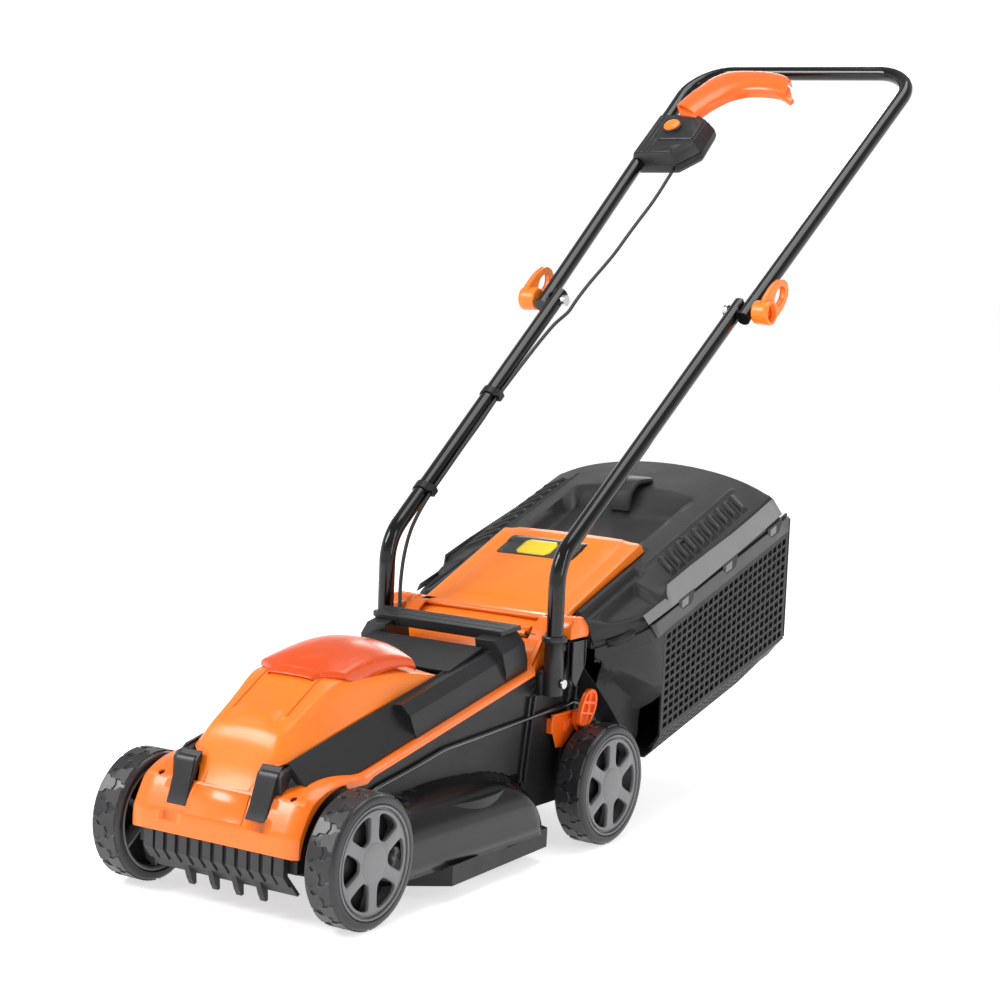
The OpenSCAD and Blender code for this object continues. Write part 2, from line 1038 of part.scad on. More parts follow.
// The crimped end of a tube is solid and flat on the side that meets the other tube
module crimped_end(a, b, flat_x, keep) {
  back = unit(b - a);
  intersection() {
    aim(a - back, b - a, [1, 0, 0])
      cylinder(h = norm(b - a) + 1, r = tube_r + run);
    translate([keep > 0 ? flat_x : flat_x - 100, a[1] - 200, a[2] - 200])
      cube([100, 400, 400]);
  }
}

module lower_tube() {
  bend_out = bend_end(low_start, low_corner, low_pivot, bend_r);
  crimp_at = low_pivot - unit(low_pivot - low_corner) * (crimp - 16);
  difference() {
    union() {
      tube_run(low_start, bend_start(low_start, low_corner, low_pivot, bend_r));
      tube_bend(low_start, low_corner, low_pivot, bend_r);
      tube_run(bend_out, crimp_at);
      crimped_end(crimp_at, low_end, 156.5, -1);
    }
    xcyl(100, 200, bolt_r + run, fold_y, fold_z);
    xcyl(bend_x - 20, bend_x + 20, 3, bend_y, 222);
  }
}

module lower_tube_left() {
  color("#161617")
    place()
      lower_tube();
}

module lower_tube_right() {
  color("#161617")
    place()
      mirror([1, 0, 0])
        lower_tube();
}

up_start = [fold_x_up, -16, 0];
up_corner = [bar_x, upper_len, 0];
up_mid = [0, upper_len, 0];
crimp_up = up_start + unit(up_corner - up_start) * crimp;

module upper_side() {
  difference() {
    union() {
      crimped_end(crimp_up, up_start, 159, 1);
      tube_run(crimp_up, bend_start(crimp_up, up_corner, up_mid, bend_r));
      tube_bend(crimp_up, up_corner, up_mid, bend_r);
    }
    xcyl(100, 250, bolt_r + run, 0, 0);
  }
}

module upper_handle() {
  bar_half = bend_end(crimp_up, up_corner, up_mid, bend_r)[0];
  color("#161617")
    place()
      on_handle() {
        both_sides()
          upper_side();
        translate([-bar_half, upper_len, 0])
          rotate([0, 90, 0])
            linear_extrude(2 * bar_half)
              tube_ring(tube_r, tube_r - tube_wall);
      }
}

module fold_spacers() {
  color("#222224")
    place()
      on_handle()
        both_sides()
          difference() {
            xcyl(156.6, 158.7, 12, 0, 0);
            xcyl(150, 170, bolt_r + run, 0, 0);
          }
}

knob_x = 180.8;
module fold_bolts() {
  color("gainsboro")
    place()
      on_handle()
        both_sides() {
          xcyl(138 - 6, 138.5, 8, 0, 0);
          xcyl(138, knob_x + 12, bolt_r, 0, 0);
        }
}

// A round hub with a loop to turn it by
module knob() {
  difference() {
    union() {
      xcyl(knob_x, knob_x + 18, 15, 0, 0);
      translate([knob_x + 7, 0, 0])
        rotate([0, 0, -18])
          rotate([90, 0, 90])
            linear_extrude(9)
              difference() {
                union() {
                  translate([28, 6])
                    circle(r = 18);
                  polygon([[4, -14], [28, -12], [22, 22], [0, 14]]);
                }
                translate([29, 7])
                  circle(r = 11);
              }
    }
    xcyl(knob_x - 1, knob_x + 13, bolt_r + run, 0, 0);
  }
}

module knob_left() {
  color("orangered")
    place()
      on_handle()
        knob();
}

module knob_right() {
  color("orangered")
    place()
      on_handle()
        mirror([1, 0, 0])
          knob();
}

// Switch box, in the handle frame: X across, Y up the tube
switch_outline = [
  [-199, 348], [-204, 458], [-128, 458], [-104, 444], [-94, 420], [-92, 382], [-112, 350], [-150, 344]
];
switch_split = 0;
switch_top = 18;
switch_low = -20;

switch_cavity = [[-168, 356], [-170, 432], [-128, 432], [-108, 428], [-102, 384], [-118, 356]];

function tube_x(v) = -(fold_x_up + (bar_x - fold_x_up) * (v + 16) / (upper_len + 16));

module switch_tube_hole() {
  aim([tube_x(300), 300, 0], [tube_x(500) - tube_x(300), 200, 0], [1, 0, 0])
    cylinder(h = 200, r = tube_r + 0.1);
}

module switch_base() {
  color("#242426")
    place()
      on_handle()
        difference() {
          union() {
            translate([0, 0, switch_low])
              linear_extrude(switch_split - switch_low)
                polygon(switch_outline);
            // gland of the cable
            translate([-122, 356, -10])
              rotate([90, 0, 0])
                cylinder(h = 22, r = 5);
          }
          translate([0, 0, switch_low + wall])
            linear_extrude(40)
              polygon(switch_cavity);
          switch_tube_hole();
        }
}

module switch_cover() {
  color("#2c2c2f")
    place()
      on_handle() {
        difference() {
          translate([0, 0, switch_split + 0.1])
            linear_extrude(switch_top - switch_split)
              polygon(switch_outline);
          translate([0, 0, switch_split])
            linear_extrude(switch_top - switch_split - wall)
              polygon(switch_cavity);
          switch_tube_hole();
          translate([-150, 418, 5])
            cylinder(h = 30, r = 9.3);
          // slot for the root of the bail lever
          translate([-180, 438, 8])
            cube([46, 30, 30]);
        }
        // pin that the bail lever turns on
        translate([bail_pivot[0], bail_pivot[1], 4])
          cylinder(h = 14, r = 3);
      }
}

module lock_button() {
  color("orange")
    place()
      on_handle()
        translate([-150, 418, 8]) {
          cylinder(h = 15, r = 9);
          cylinder(h = 2, r = 12);
        }
}

bail_pivot = [-164, 450];
bail_c = [-63, 461];
bail_ro = 116;
bail_ri = 74;
module bail_lever() {
  color("#ff5a1a")
    place()
      on_handle()
        difference() {
          union() {
            translate([bail_c[0], bail_c[1], 9])
              rotate([0, 0, 51])
                rotate_extrude(angle = 122, $fn = 144)
                  difference() {
                    translate([bail_ri, 0])
                      square([bail_ro - bail_ri, 20]);
                    translate([bail_ri + 3, -1])
                      square([bail_ro - bail_ri, 18]);
                  }
            // root that turns in the switch box
            translate([-174, 441, 9])
              cube([20, 34, 8]);
            translate([-174, 467, 9])
              cube([37, 13, 19]);
            translate([-22, 519, 9])
              rotate([0, 0, -22])
                cube([44, 7, 8]);
          }
          translate([bail_pivot[0], bail_pivot[1], 0])
            cylinder(h = 40, r = 3 + run);
        }
}

// ---- cable ---------------------------------------------------------------------------------

cable_r = 2.6;
// The cable's route: from the switch box along the inner side of the right-hand tubes
cable_up_points = [
  [-122, 868, 893], [-122, 858, 884], [-123, 840, 866], [-124, 815, 844], [-126, 785, 820],
  [-128, 755, 795], [-129, 725, 770], [-131, 695, 748], [-133, 665, 727], [-133, 638, 708],
  [-133, 620, 694]
];
grommet_x = -106;
grommet_y = 170;
cable_low_points = [
  [-132, 605, 682], [-133, 592, 675], [-134, 576, 667], [-133, 560, 659], [-132, 528, 639],
  [-132, 496, 616], [-131, 456, 588], [-129, 416, 561], [-127, 376, 529], [-126, 336, 500],
  [-124, 290, 465], [-123, 253, 437], [-121, 226, 414], [-119, 204, 390], [-116, 188, 360],
  [-112, 177, 328], [-108, 171, 300], [-106, 170, 285], [-106, 170, 274]
];

function path_dir(p, i) =
  unit(p[min(i + 1, len(p) - 1)] - p[max(i - 1, 0)]);
function ring(p, i, r, sides) =
  let (d = path_dir(p, i), x = [1, 0, 0], u = unit(x - (x * d) * d), v = cross(d, u))
  [for (k = [0:sides - 1]) p[i] + r * (cos(360 * k / sides) * u + sin(360 * k / sides) * v)];

// A tube swept along a list of points
module swept(p, r, sides = 8) {
  n = len(p);
  points = [for (i = [0:n - 1]) each ring(p, i, r, sides)];
  sides_faces = [
    for (i = [0:n - 2], k = [0:sides - 1])
      [i * sides + k, i * sides + (k + 1) % sides, (i + 1) * sides + (k + 1) % sides, (i + 1) * sides + k]
  ];
  start_cap = [[for (k = [0:sides - 1]) sides - 1 - k]];
  end_cap = [[for (k = [0:sides - 1]) (n - 1) * sides + k]];
  polyhedron(points, concat(sides_faces, start_cap, end_cap));
}

module cable_upper() {
  color("black")
    place()
      swept(cable_up_points, cable_r);
}

module cable_lower() {
  color("black")
    place()
      swept(cable_low_points, cable_r);
}

// Two clips that hold the cable against the right-hand lower tube
module cable_clips() {
  dir = unit(low_pivot - low_corner);
  color("#222224")
    place() {
      mirror([1, 0, 0])
        for (p = [low_corner + dir * 95, low_corner + dir * 300])
          aim(p, dir, [1, 0, 0])
            difference() {
              union() {
                cylinder(h = 12, r = tube_r + 2.2);
                translate([-tube_r - 9, -6, 0])
                  cube([11, 12, 12]);
              }
              translate([0, 0, -1])
                cylinder(h = 20, r = tube_r + run);
              translate([-tube_r - 3.6, 0, -1])
                cylinder(h = 20, r = cable_r + 1.2);
            }
      translate([grommet_x, grommet_y, 256])
        cylinder(h = 12, r = 6);
      translate([grommet_x, grommet_y, 268])
        cylinder(h = 6, r = 7.5);
    }
}

// ---- rear flap and grass box ---------------------------------------------------------------

flap_len = 249;
module rear_flap() {
  color("#ff8a22")
    place() {
      on_flap()
        difference() {
          union() {
            translate([-112, 8, -3])
              cube([224, flap_len - 8, 3]);
            both_sides()
              translate([110.5, 0, 0])
                across(3)
                  polygon([[20, -1], [20, -5], [flap_len, -15], [flap_len, -1]]);
            translate([-112, flap_len - 3, -15])
              cube([224, 3, 14]);
            for (x = [-70, 0, 70])
              translate([x, 0, 0])
                across(30)
                  polygon([[-11, -12], [-4, 0], [12, 0], [12, -3], [0, -6], [-6, -10]]);
          }
          // window with a blank label
          translate([-80, 172, -1])
            cube([125, 49, 2]);
        }
      for (x = [-70, 0, 70])
        difference() {
          xcyl(x - 15, x + 15, 5, 187, 278);
          xcyl(x - 20, x + 20, 2 + run, 187, 278);
        }
    }
}

module flap_pin() {
  color("gainsboro")
    place()
      xcyl(-101, 101, 2, 187, 278);
}

function seam(y) = 308 + 0.303 * (y - 421);

// Side view of the grass box's top cover
cover_front_y = 256;
module box_cover_side(g) {
  polygon([
    [cover_front_y + g, seam(cover_front_y)], [cover_front_y + g, 500], [655 - g, 500], [655 - g, 440],
    [722 - g, seam(722)], [722 - g, seam(722) - g], [cover_front_y + g, seam(cover_front_y) - g]
  ]);
}

module box_crown(g) {
  on_box()
    along(-480, 60)
      difference() {
        translate([0, -789 - g])
          circle(r = 789, $fn = 360);
        translate([-800, -2000])
          square([1600, 1800]);
      }
}

module box_recess(g) {
  on_box() {
    // channel that the flap lies in
    translate([-118 - g, -500, -26 - g])
      cube([236 + 2 * g, 285 + g, 100]);
    // hollow around the carrying handle
    translate([-85 - g, -230, -26 - g])
      cube([170 + 2 * g, 132 + g, 100]);
  }
}

module box_cover_solid(g, top_g) {
  intersection() {
    across(2 * (box_x - g))
      box_cover_side(g);
    box_crown(top_g);
  }
}

module box_cover() {
  color("#343437")
    place()
      difference() {
        difference() {
          box_cover_solid(0, 0);
          box_recess(0);
        }
        difference() {
          box_cover_solid(wall, wall);
          box_recess(wall);
        }
        // open bottom
        across(2 * box_x - 2 * wall)
          polygon([[262, seam(262) - 20], [262, seam(262) + 4], [700, seam(700) + 4], [715, seam(715) - 20]]);
        // vents beside the recess
        for (i = [0:9])
          both_sides()
            on_box()
              translate([138, -226 + 23 * i, -20])
                cube([34, 8, 30]);
        // seat of the fill flap
        on_box()
          translate([-133, -177, -30])
            cube([30, 44, 40]);
      }
}

function box_corner(g) = [
  [258 + g, seam(258)], [722 - g, seam(722)], [724 - g, 380], [723 - g, 222], [611 - g / 2, 168 + g],
  [356 + g, 100 + g], [256 + g, 250]
];

module box_solid(g) {
  difference() {
    across(2 * (box_x - g))
      polygon(box_corner(g));
    // wheel recesses
    both_sides()
      xcyl(side_x - 2 - g, 300, 122 + g, rear_y, wheel_r);
  }
}

// One half of the basket, split down the middle
module basket_half() {
  difference() {
    intersection() {
      box_solid(0);
      translate([0.1, 0, 0])
        cube([400, 1000, 600]);
    }
    box_solid(wall);
    // open top
    across(2 * box_x - 2 * wall)
      polygon([[262, seam(262) - 6], [262, 500], [715, 500], [715, seam(715) - 6]]);
    // mouth that meets the chute
    across(200)
      polygon([[240, 115], [240, 245], [275, 245], [365, 115]]);
    // windows in the side wall
    for (i = [0:11], j = [0:3])
      translate([box_x - 10, 395 + 26 * i, 158 + 7.9 * i + 26 * j])
        cube([20, 20, 16]);
  }
}

// One half of the basket, cut level with its seam
module basket_side() {
  intersection() {
    basket_half();
    across(1000)
      polygon([[0, 0], [0, seam(0) - 0.2], [800, seam(800) - 0.2], [800, 0]]);
  }
}

module box_basket_left() {
  color("#303034")
    place()
      basket_side();
}

module box_basket_right() {
  color("#303034")
    place()
      mirror([1, 0, 0])
        basket_side();
}

// Pale trim strip along the side of the cover
module box_trim() {
  translate([box_x + 1.6, 0, 0])
    across(3)
      polygon([
        [300, seam(300) + 3], [302, seam(302) + 26], [362, seam(362) + 32], [366, seam(366) + 48],
        [650, 432], [700, seam(700) + 8], [704, seam(704) + 3]
      ]);
}

module box_trim_left() {
  color("darkgray")
    place()
      box_trim();
}

module box_trim_right() {
  color("darkgray")
    place()
      mirror([1, 0, 0])
        box_trim();
}

// Loop handle across the recess, by which the box is lifted
module box_handle() {
  color("#2a2a2c")
    place()
      on_box()
        difference() {
          translate([-26, -128, -25.8])
            cube([52, 30, 27]);
          translate([-20, -140, -30])
            cube([40, 60, 24]);
        }
}

module fill_flap() {
  color("orange")
    place()
      on_box()
        {
          translate([-131.5, -175, -12.5])
            cube([27, 40, 2.5]);
          xcyl(-131.5, -104.5, 1.25, -135, -11.25);
        }
}

deck();
front_comb();
top_cover();
hood();
shroud();
carry_handle();
battery_lid();
battery_pack();
safety_key();
battery_tray();
controller_box();
motor();
motor_plate();
motor_shaft();
blade_carrier();
blade();
blade_bolt();
axle_bushes();
front_axle();
rear_axle();
height_lever();
lever_plate();
link_rod();
tyre(track / 2, front_y);  // tyre_front_left
tyre(-track / 2, front_y);  // tyre_front_right
tyre(track / 2, rear_y);  // tyre_rear_left
tyre(-track / 2, rear_y);  // tyre_rear_right
hub(track / 2, front_y);  // hub_front_left
hub(-track / 2, front_y);  // hub_front_right
hub(track / 2, rear_y);  // hub_rear_left
hub(-track / 2, rear_y);  // hub_rear_right
axle_clips(front_y);  // front_clips
axle_clips(rear_y);  // rear_clips
socket_left();
socket_right();
socket_screws();
cover_screws();
lower_tube_left();
lower_tube_right();
fold_bolts();
fold_spacers();
upper_handle();
knob_left();
knob_right();
switch_base();
switch_cover();
lock_button();
bail_lever();
cable_upper();
cable_lower();
cable_clips();
rear_flap();
flap_pin();
box_cover();
box_basket_left();
box_basket_right();
box_trim_left();
box_trim_right();
box_handle();
fill_flap();
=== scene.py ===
"""Push lawn mower: materials, detailed pieces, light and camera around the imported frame.

Shapes are given in millimetres in the machine's own layout: Y = 0 is midway between the axles,
the front faces -Y, +X is the operator's left and Z = 0 is the ground. BODY and the other
matrices turn them into the frame's metres.
"""
import math

import bmesh
import bpy
from mathutils import Matrix, Vector


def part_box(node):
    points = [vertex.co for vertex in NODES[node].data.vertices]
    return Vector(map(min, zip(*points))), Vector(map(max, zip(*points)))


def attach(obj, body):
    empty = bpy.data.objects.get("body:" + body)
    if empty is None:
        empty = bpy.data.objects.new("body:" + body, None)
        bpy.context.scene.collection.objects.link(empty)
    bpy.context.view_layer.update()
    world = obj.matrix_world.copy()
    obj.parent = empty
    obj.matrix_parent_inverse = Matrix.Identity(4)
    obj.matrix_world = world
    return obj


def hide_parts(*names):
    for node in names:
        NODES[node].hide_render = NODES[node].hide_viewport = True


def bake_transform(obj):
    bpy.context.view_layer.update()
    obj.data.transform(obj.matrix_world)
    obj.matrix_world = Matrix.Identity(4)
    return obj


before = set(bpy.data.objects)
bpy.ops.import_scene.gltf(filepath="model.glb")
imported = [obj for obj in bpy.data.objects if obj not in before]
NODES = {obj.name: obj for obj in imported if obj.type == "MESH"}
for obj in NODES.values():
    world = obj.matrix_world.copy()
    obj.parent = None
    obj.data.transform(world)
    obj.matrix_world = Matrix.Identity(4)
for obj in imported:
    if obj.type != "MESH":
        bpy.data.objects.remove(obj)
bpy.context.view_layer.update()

# ---- frames ------------------------------------------------------------------------------------

WHEEL_R = 80
AXLE_Y = 261.5
HOUSING_Y = -60
TUBE_FOOT = (135.2, 177.2)
WHEEL_X = 160.5
TYRE_W = 44
front_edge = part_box("tyre_front_left")[0].y * 1000
BODY = Matrix.Scale(0.001, 4) @ Matrix.Translation((0, front_edge + AXLE_Y + WHEEL_R, 0))


def turned_by(degrees, axis):
    return Matrix.Rotation(math.radians(degrees), 4, axis)


def at(x, y, z):
    return BODY @ Matrix.Translation((x, y, z))


def crosswise(x, y, z):
    """A frame whose local Z runs across the machine."""
    return at(x, y, z) @ turned_by(90, "Y")


def tilted(y, z, degrees):
    return at(0, y, z) @ turned_by(degrees, "X")


def hand(side):
    return "left" if side > 0 else "right"


GRIP = tilted(597, 698, 37.55)
FLAP = tilted(197, 286, 22.64)

# ---- camera, floor and light -------------------------------------------------------------------

scene = bpy.context.scene
scene.view_settings.view_transform = "Standard"


def look(yaw, pitch, roll):
    """Camera axes from its heading, how far it looks down, and its roll."""
    forward = Vector((math.cos(pitch) * math.sin(yaw), math.cos(pitch) * math.cos(yaw), -math.sin(pitch)))
    right = Vector((math.cos(yaw), -math.sin(yaw), 0))
    up = right.cross(forward)
    turned_right = math.cos(roll) * right + math.sin(roll) * up
    turned_up = math.cos(roll) * up - math.sin(roll) * right
    return Matrix((turned_right, turned_up, -forward)).transposed()


camera = bpy.data.objects.new("camera", bpy.data.cameras.new("camera"))
scene.collection.objects.link(camera)
camera.data.sensor_width = 36
camera.data.lens = 87.25
camera.data.clip_end = 50
camera_turn = look(yaw=-0.5834, pitch=0.1138, roll=0.041).to_4x4()
camera_place = Vector((1766.5, -2435.4, 807.8))
camera.matrix_world = Matrix.Translation(BODY @ camera_place) @ camera_turn
scene.camera = camera


def area_light(name, place, aim, size, power):
    data = bpy.data.lights.new(name, "AREA")
    data.shape = "RECTANGLE"
    data.size, data.size_y = size
    data.energy = power
    light = bpy.data.objects.new(name, data)
    light.location = place
    light.rotation_euler = (Vector(aim) - Vector(place)).to_track_quat("-Z", "Y").to_euler()
    scene.collection.objects.link(light)


area_light("key", (-1.9, -2.4, 2.6), (0, 0, 0.25), (1.5, 1.5), 92)
area_light("side", (2.9, -0.6, 1.5), (0, 0.1, 0.3), (0.3, 2.0), 16)
area_light("top", (0.3, 0.5, 3.2), (0, 0.1, 0.2), (2.0, 2.0), 44)
area_light("back", (-1.2, 3.0, 1.8), (0, 0.2, 0.4), (1.6, 1.0), 26)

world = bpy.data.worlds.new("studio")
world.use_nodes = True
sky = world.node_tree
sky.nodes["Background"].inputs["Color"].default_value = (1.0, 1.0, 1.0, 1)
# white round the horizon, dimmer overhead
sky_coords = sky.nodes.new("ShaderNodeTexCoord")
sky_axes = sky.nodes.new("ShaderNodeSeparateXYZ")
sky_fade = sky.nodes.new("ShaderNodeMapRange")
for socket, value in (("From Min", 0.16), ("From Max", 0.4), ("To Min", 1.08), ("To Max", 0.42)):
    sky_fade.inputs[socket].default_value = value
sky.links.new(sky_coords.outputs["Generated"], sky_axes.inputs["Vector"])
sky.links.new(sky_axes.outputs["Z"], sky_fade.inputs["Value"])
sky.links.new(sky_fade.outputs["Result"], sky.nodes["Background"].inputs["Strength"])
scene.world = world

# ---- materials ---------------------------------------------------------------------------------


def shade(c, k):
    return tuple(min(1.0, max(0.0, x * k)) for x in c[:3]) + (1.0,)


def material(
    name, colour, rough=0.4, vary=0.08, patch=9.0, grain=900.0, grain_depth=0.00006, metallic=0.0,
    coat=0.0, wear_and_highlight=0.25, wear_and_highlight_colour=None, edge=0.0012, alpha=1.0, transmission=0.0,
    streaks=None, spec=0.5,
):
    """A moulded or painted surface: broad colour drift, fine grain, scuffed edges lightened as wear and as a
    painted highlight, and rounded corners.
    """
    mat = bpy.data.materials.new(name)
    mat.use_nodes = True
    tree = mat.node_tree
    n, link = tree.nodes, tree.links.new
    bsdf = n["Principled BSDF"]
    bsdf.inputs["Metallic"].default_value = metallic
    bsdf.inputs["Specular IOR Level"].default_value = spec
    bsdf.inputs["Coat Weight"].default_value = coat
    bsdf.inputs["Coat Roughness"].default_value = 0.12
    bsdf.inputs["Alpha"].default_value = alpha
    bsdf.inputs["Transmission Weight"].default_value = transmission
    coords = n.new("ShaderNodeTexCoord")
    place = n.new("ShaderNodeMapping")
    place.inputs["Scale"].default_value = streaks or (1, 1, 1)
    link(coords.outputs["Object"], place.inputs["Vector"])

    def noise(scale, detail):
        tex = n.new("ShaderNodeTexNoise")
        tex.inputs["Scale"].default_value = scale
        tex.inputs["Detail"].default_value = detail
        link(place.outputs["Vector"], tex.inputs["Vector"])
        return tex.outputs["Fac"]

    def ramp(value, low, high, to_low, to_high):
        node = n.new("ShaderNodeMapRange")
        node.inputs["From Min"].default_value = low
        node.inputs["From Max"].default_value = high
        node.inputs["To Min"].default_value = to_low
        node.inputs["To Max"].default_value = to_high
        link(value, node.inputs["Value"])
        return node.outputs["Result"]

    broad = noise(patch, 3)
    drift = n.new("ShaderNodeMix")
    drift.data_type = "RGBA"
    drift.inputs["A"].default_value = shade(colour, 1 - vary)
    drift.inputs["B"].default_value = shade(colour, 1 + vary)
    link(ramp(broad, 0.3, 0.7, 0, 1), drift.inputs["Factor"])

    # corners: the angle between the true normal and one averaged over a small radius; noisy edges are
    # lightened, partly as wear and partly as a painted edge highlight
    rounded = n.new("ShaderNodeBevel")
    rounded.samples = 4
    rounded.inputs["Radius"].default_value = edge
    true_normal = n.new("ShaderNodeNewGeometry")
    dot = n.new("ShaderNodeVectorMath")
    dot.operation = "DOT_PRODUCT"
    link(rounded.outputs["Normal"], dot.inputs[0])
    link(true_normal.outputs["Normal"], dot.inputs[1])
    corner = ramp(dot.outputs["Value"], 0.99, 0.75, 0, 1)
    # edge lightening: real scuffs together with a painted highlight on the corners
    scuff_and_highlight = n.new("ShaderNodeMath")
    scuff_and_highlight.operation = "MULTIPLY"
    link(corner, scuff_and_highlight.inputs[0])
    link(ramp(noise(160, 4), 0.35, 0.75, 0, wear_and_highlight), scuff_and_highlight.inputs[1])
    worn_and_highlit = n.new("ShaderNodeMix")
    worn_and_highlit.data_type = "RGBA"
    worn_and_highlit.inputs["B"].default_value = (wear_and_highlight_colour or shade(colour, 1.9))[:3] + (1,)
    link(drift.outputs["Result"], worn_and_highlit.inputs["A"])
    link(scuff_and_highlight.outputs["Value"], worn_and_highlit.inputs["Factor"])
    link(worn_and_highlit.outputs["Result"], bsdf.inputs["Base Color"])

    link(ramp(noise(26, 5), 0.25, 0.75, rough * 0.88, rough * 1.12),
         bsdf.inputs["Roughness"])
    bump = n.new("ShaderNodeBump")
    bump.inputs["Strength"].default_value = 0.6
    bump.inputs["Distance"].default_value = grain_depth
    link(noise(grain, 3), bump.inputs["Height"])
    link(rounded.outputs["Normal"], bump.inputs["Normal"])
    link(bump.outputs["Normal"], bsdf.inputs["Normal"])
    return mat


ORANGE = (0.93, 0.205, 0.008)
RED_ORANGE = (0.92, 0.125, 0.005)
# the lighter edge colours given below are both wear and a painted edge highlight
M = {
    "orange": material("orange_plastic", ORANGE, 0.36, 0.05, grain_depth=0.00003, coat=0.12, wear_and_highlight=0.15,
                       wear_and_highlight_colour=(1, 0.42, 0.12)),
    "nose": material("nose_orange", (0.93, 0.17, 0.005), 0.3, 0.04, grain_depth=0.00003, coat=0.2,
                     wear_and_highlight=0.15, wear_and_highlight_colour=(1, 0.42, 0.12)),
    "red": material("red_orange_plastic", RED_ORANGE, 0.3, 0.06, grain_depth=0.00003, coat=0.2, wear_and_highlight=0.15,
                    wear_and_highlight_colour=(1, 0.3, 0.06)),
    "satin": material("satin_black_plastic", (0.016, 0.016, 0.0175), 0.36, 0.15, grain_depth=0.00004,
                      wear_and_highlight_colour=(0.16, 0.16, 0.165), spec=0.4),
    "black": material("black_plastic", (0.009, 0.009, 0.01), 0.42, 0.15, grain_depth=0.00008,
                      wear_and_highlight_colour=(0.1, 0.1, 0.1), spec=0.32),
    "gloss": material("gloss_black_plastic", (0.004, 0.004, 0.0045), 0.22, 0.15, grain_depth=0.00002,
                      wear_and_highlight_colour=(0.08, 0.08, 0.08), spec=0.4, wear_and_highlight=0.15),
    "rim_grey": material("mid_grey_plastic", (0.05, 0.051, 0.051), 0.42, 0.08, grain_depth=0.00006,
                         wear_and_highlight_colour=(0.3, 0.3, 0.3)),
    "wire": material("black_wire", (0.07, 0.07, 0.073), 0.1, 0.1, grain=300, grain_depth=0.00001,
                     metallic=0.8, coat=1.0, wear_and_highlight_colour=(0.3, 0.3, 0.3)),
    "dark": material("dark_grey_plastic", (0.02, 0.02, 0.0212), 0.5, 0.1, grain=1400, grain_depth=0.00012,
                     wear_and_highlight_colour=(0.12, 0.12, 0.12), spec=0.35),
    "comb": material("comb_plastic", (0.022, 0.022, 0.024), 0.5, 0.1, grain_depth=0.0001,
                     wear_and_highlight_colour=(0.2, 0.19, 0.18), wear_and_highlight=0.4),
    "grey": material("grey_trim_plastic", (0.2, 0.203, 0.203), 0.42, 0.05, grain_depth=0.00005,
                     wear_and_highlight_colour=(0.55, 0.55, 0.55)),
    "hub": material("hub_grey_plastic", (0.165, 0.167, 0.17), 0.36, 0.05, grain_depth=0.00004,
                    wear_and_highlight_colour=(0.36, 0.36, 0.36)),
    "tyre": material("tyre_moulding", (0.02, 0.02, 0.022), 0.34, 0.25, patch=40, grain=700,
                     grain_depth=0.00018, wear_and_highlight_colour=(0.14, 0.14, 0.14), wear_and_highlight=0.6, edge=0.0008),
    "tube": material("black_enamel", (0.003, 0.003, 0.0035), 0.1, 0.1, grain=300, grain_depth=0.00001,
                     coat=0.3, wear_and_highlight=0.1, wear_and_highlight_colour=(0.08, 0.08, 0.08), spec=0.3),
    "sheath": material("cable_sheath", (0.012, 0.012, 0.012), 0.42, 0.1, grain_depth=0.00005, wear_and_highlight=0.1),
    "steel": material("zinc_steel", (0.55, 0.55, 0.56), 0.3, 0.08, metallic=1.0, grain=500,
                      grain_depth=0.00003, streaks=(1, 1, 8), wear_and_highlight_colour=(0.85, 0.85, 0.85)),
    "blade": material("ground_steel", (0.42, 0.42, 0.43), 0.34, 0.12, metallic=1.0, grain=260,
                      grain_depth=0.00004, streaks=(14, 1, 1), wear_and_highlight_colour=(0.8, 0.8, 0.8)),
    "motor": material("motor_aluminium", (0.5, 0.5, 0.52), 0.4, 0.08, metallic=1.0, grain=500,
                      grain_depth=0.00005),
    "board": material("controller_cover", (0.02, 0.06, 0.03), 0.5, 0.1),
    "lid": material("smoked_lid", (0.95, 0.11, 0.003), 0.26, 0.03, grain_depth=0.000005, coat=0.12,
                    wear_and_highlight=0.1, wear_and_highlight_colour=(1, 0.3, 0.1), transmission=0.3, alpha=0.9),
    "label": material("blank_label", (0.03, 0.03, 0.032), 0.3, 0.1, grain_depth=0.00001, wear_and_highlight=0.1),
    "label_yellow": material("blank_label_yellow", (0.85, 0.6, 0.02), 0.3, 0.05, grain_depth=0.00001,
                             wear_and_highlight=0.1),
}

floor_mat = bpy.data.materials.new("floor")
floor_mat.use_nodes = True
floor_bsdf = floor_mat.node_tree.nodes["Principled BSDF"]
for socket, value in (("Base Color", (0.8, 0.8, 0.8, 1)), ("Emission Color", (1, 1, 1, 1)),
                      ("Emission Strength", 0.62), ("Specular IOR Level", 0.0), ("Roughness", 0.6)):
    floor_bsdf.inputs[socket].default_value = value

# ---- mesh tools --------------------------------------------------------------------------------


def link_mesh(name, mesh):
    piece = bpy.data.objects.new(name, mesh)
    scene.collection.objects.link(piece)
    return piece


def clean(mesh, sharp, merge=2e-6):
    """Merges points that meet, turns the faces outward and marks edges sharper than `sharp` degrees."""
    bm = bmesh.new()
    bm.from_mesh(mesh)
    bmesh.ops.remove_doubles(bm, verts=bm.verts, dist=merge)
    bmesh.ops.recalc_face_normals(bm, faces=bm.faces)
    bm.to_mesh(mesh)
    bm.free()
    mesh.shade_smooth()
    mesh.set_sharp_from_angle(angle=math.radians(sharp))


def from_faces(name, verts, faces, matrix=BODY, sharp=35):
    """A mesh piece from points in millimetres."""
    mesh = bpy.data.meshes.new(name)
    mesh.from_pydata([matrix @ Vector(v) for v in verts], [], faces)
    clean(mesh, sharp, 1e-6)
    return link_mesh(name, mesh)


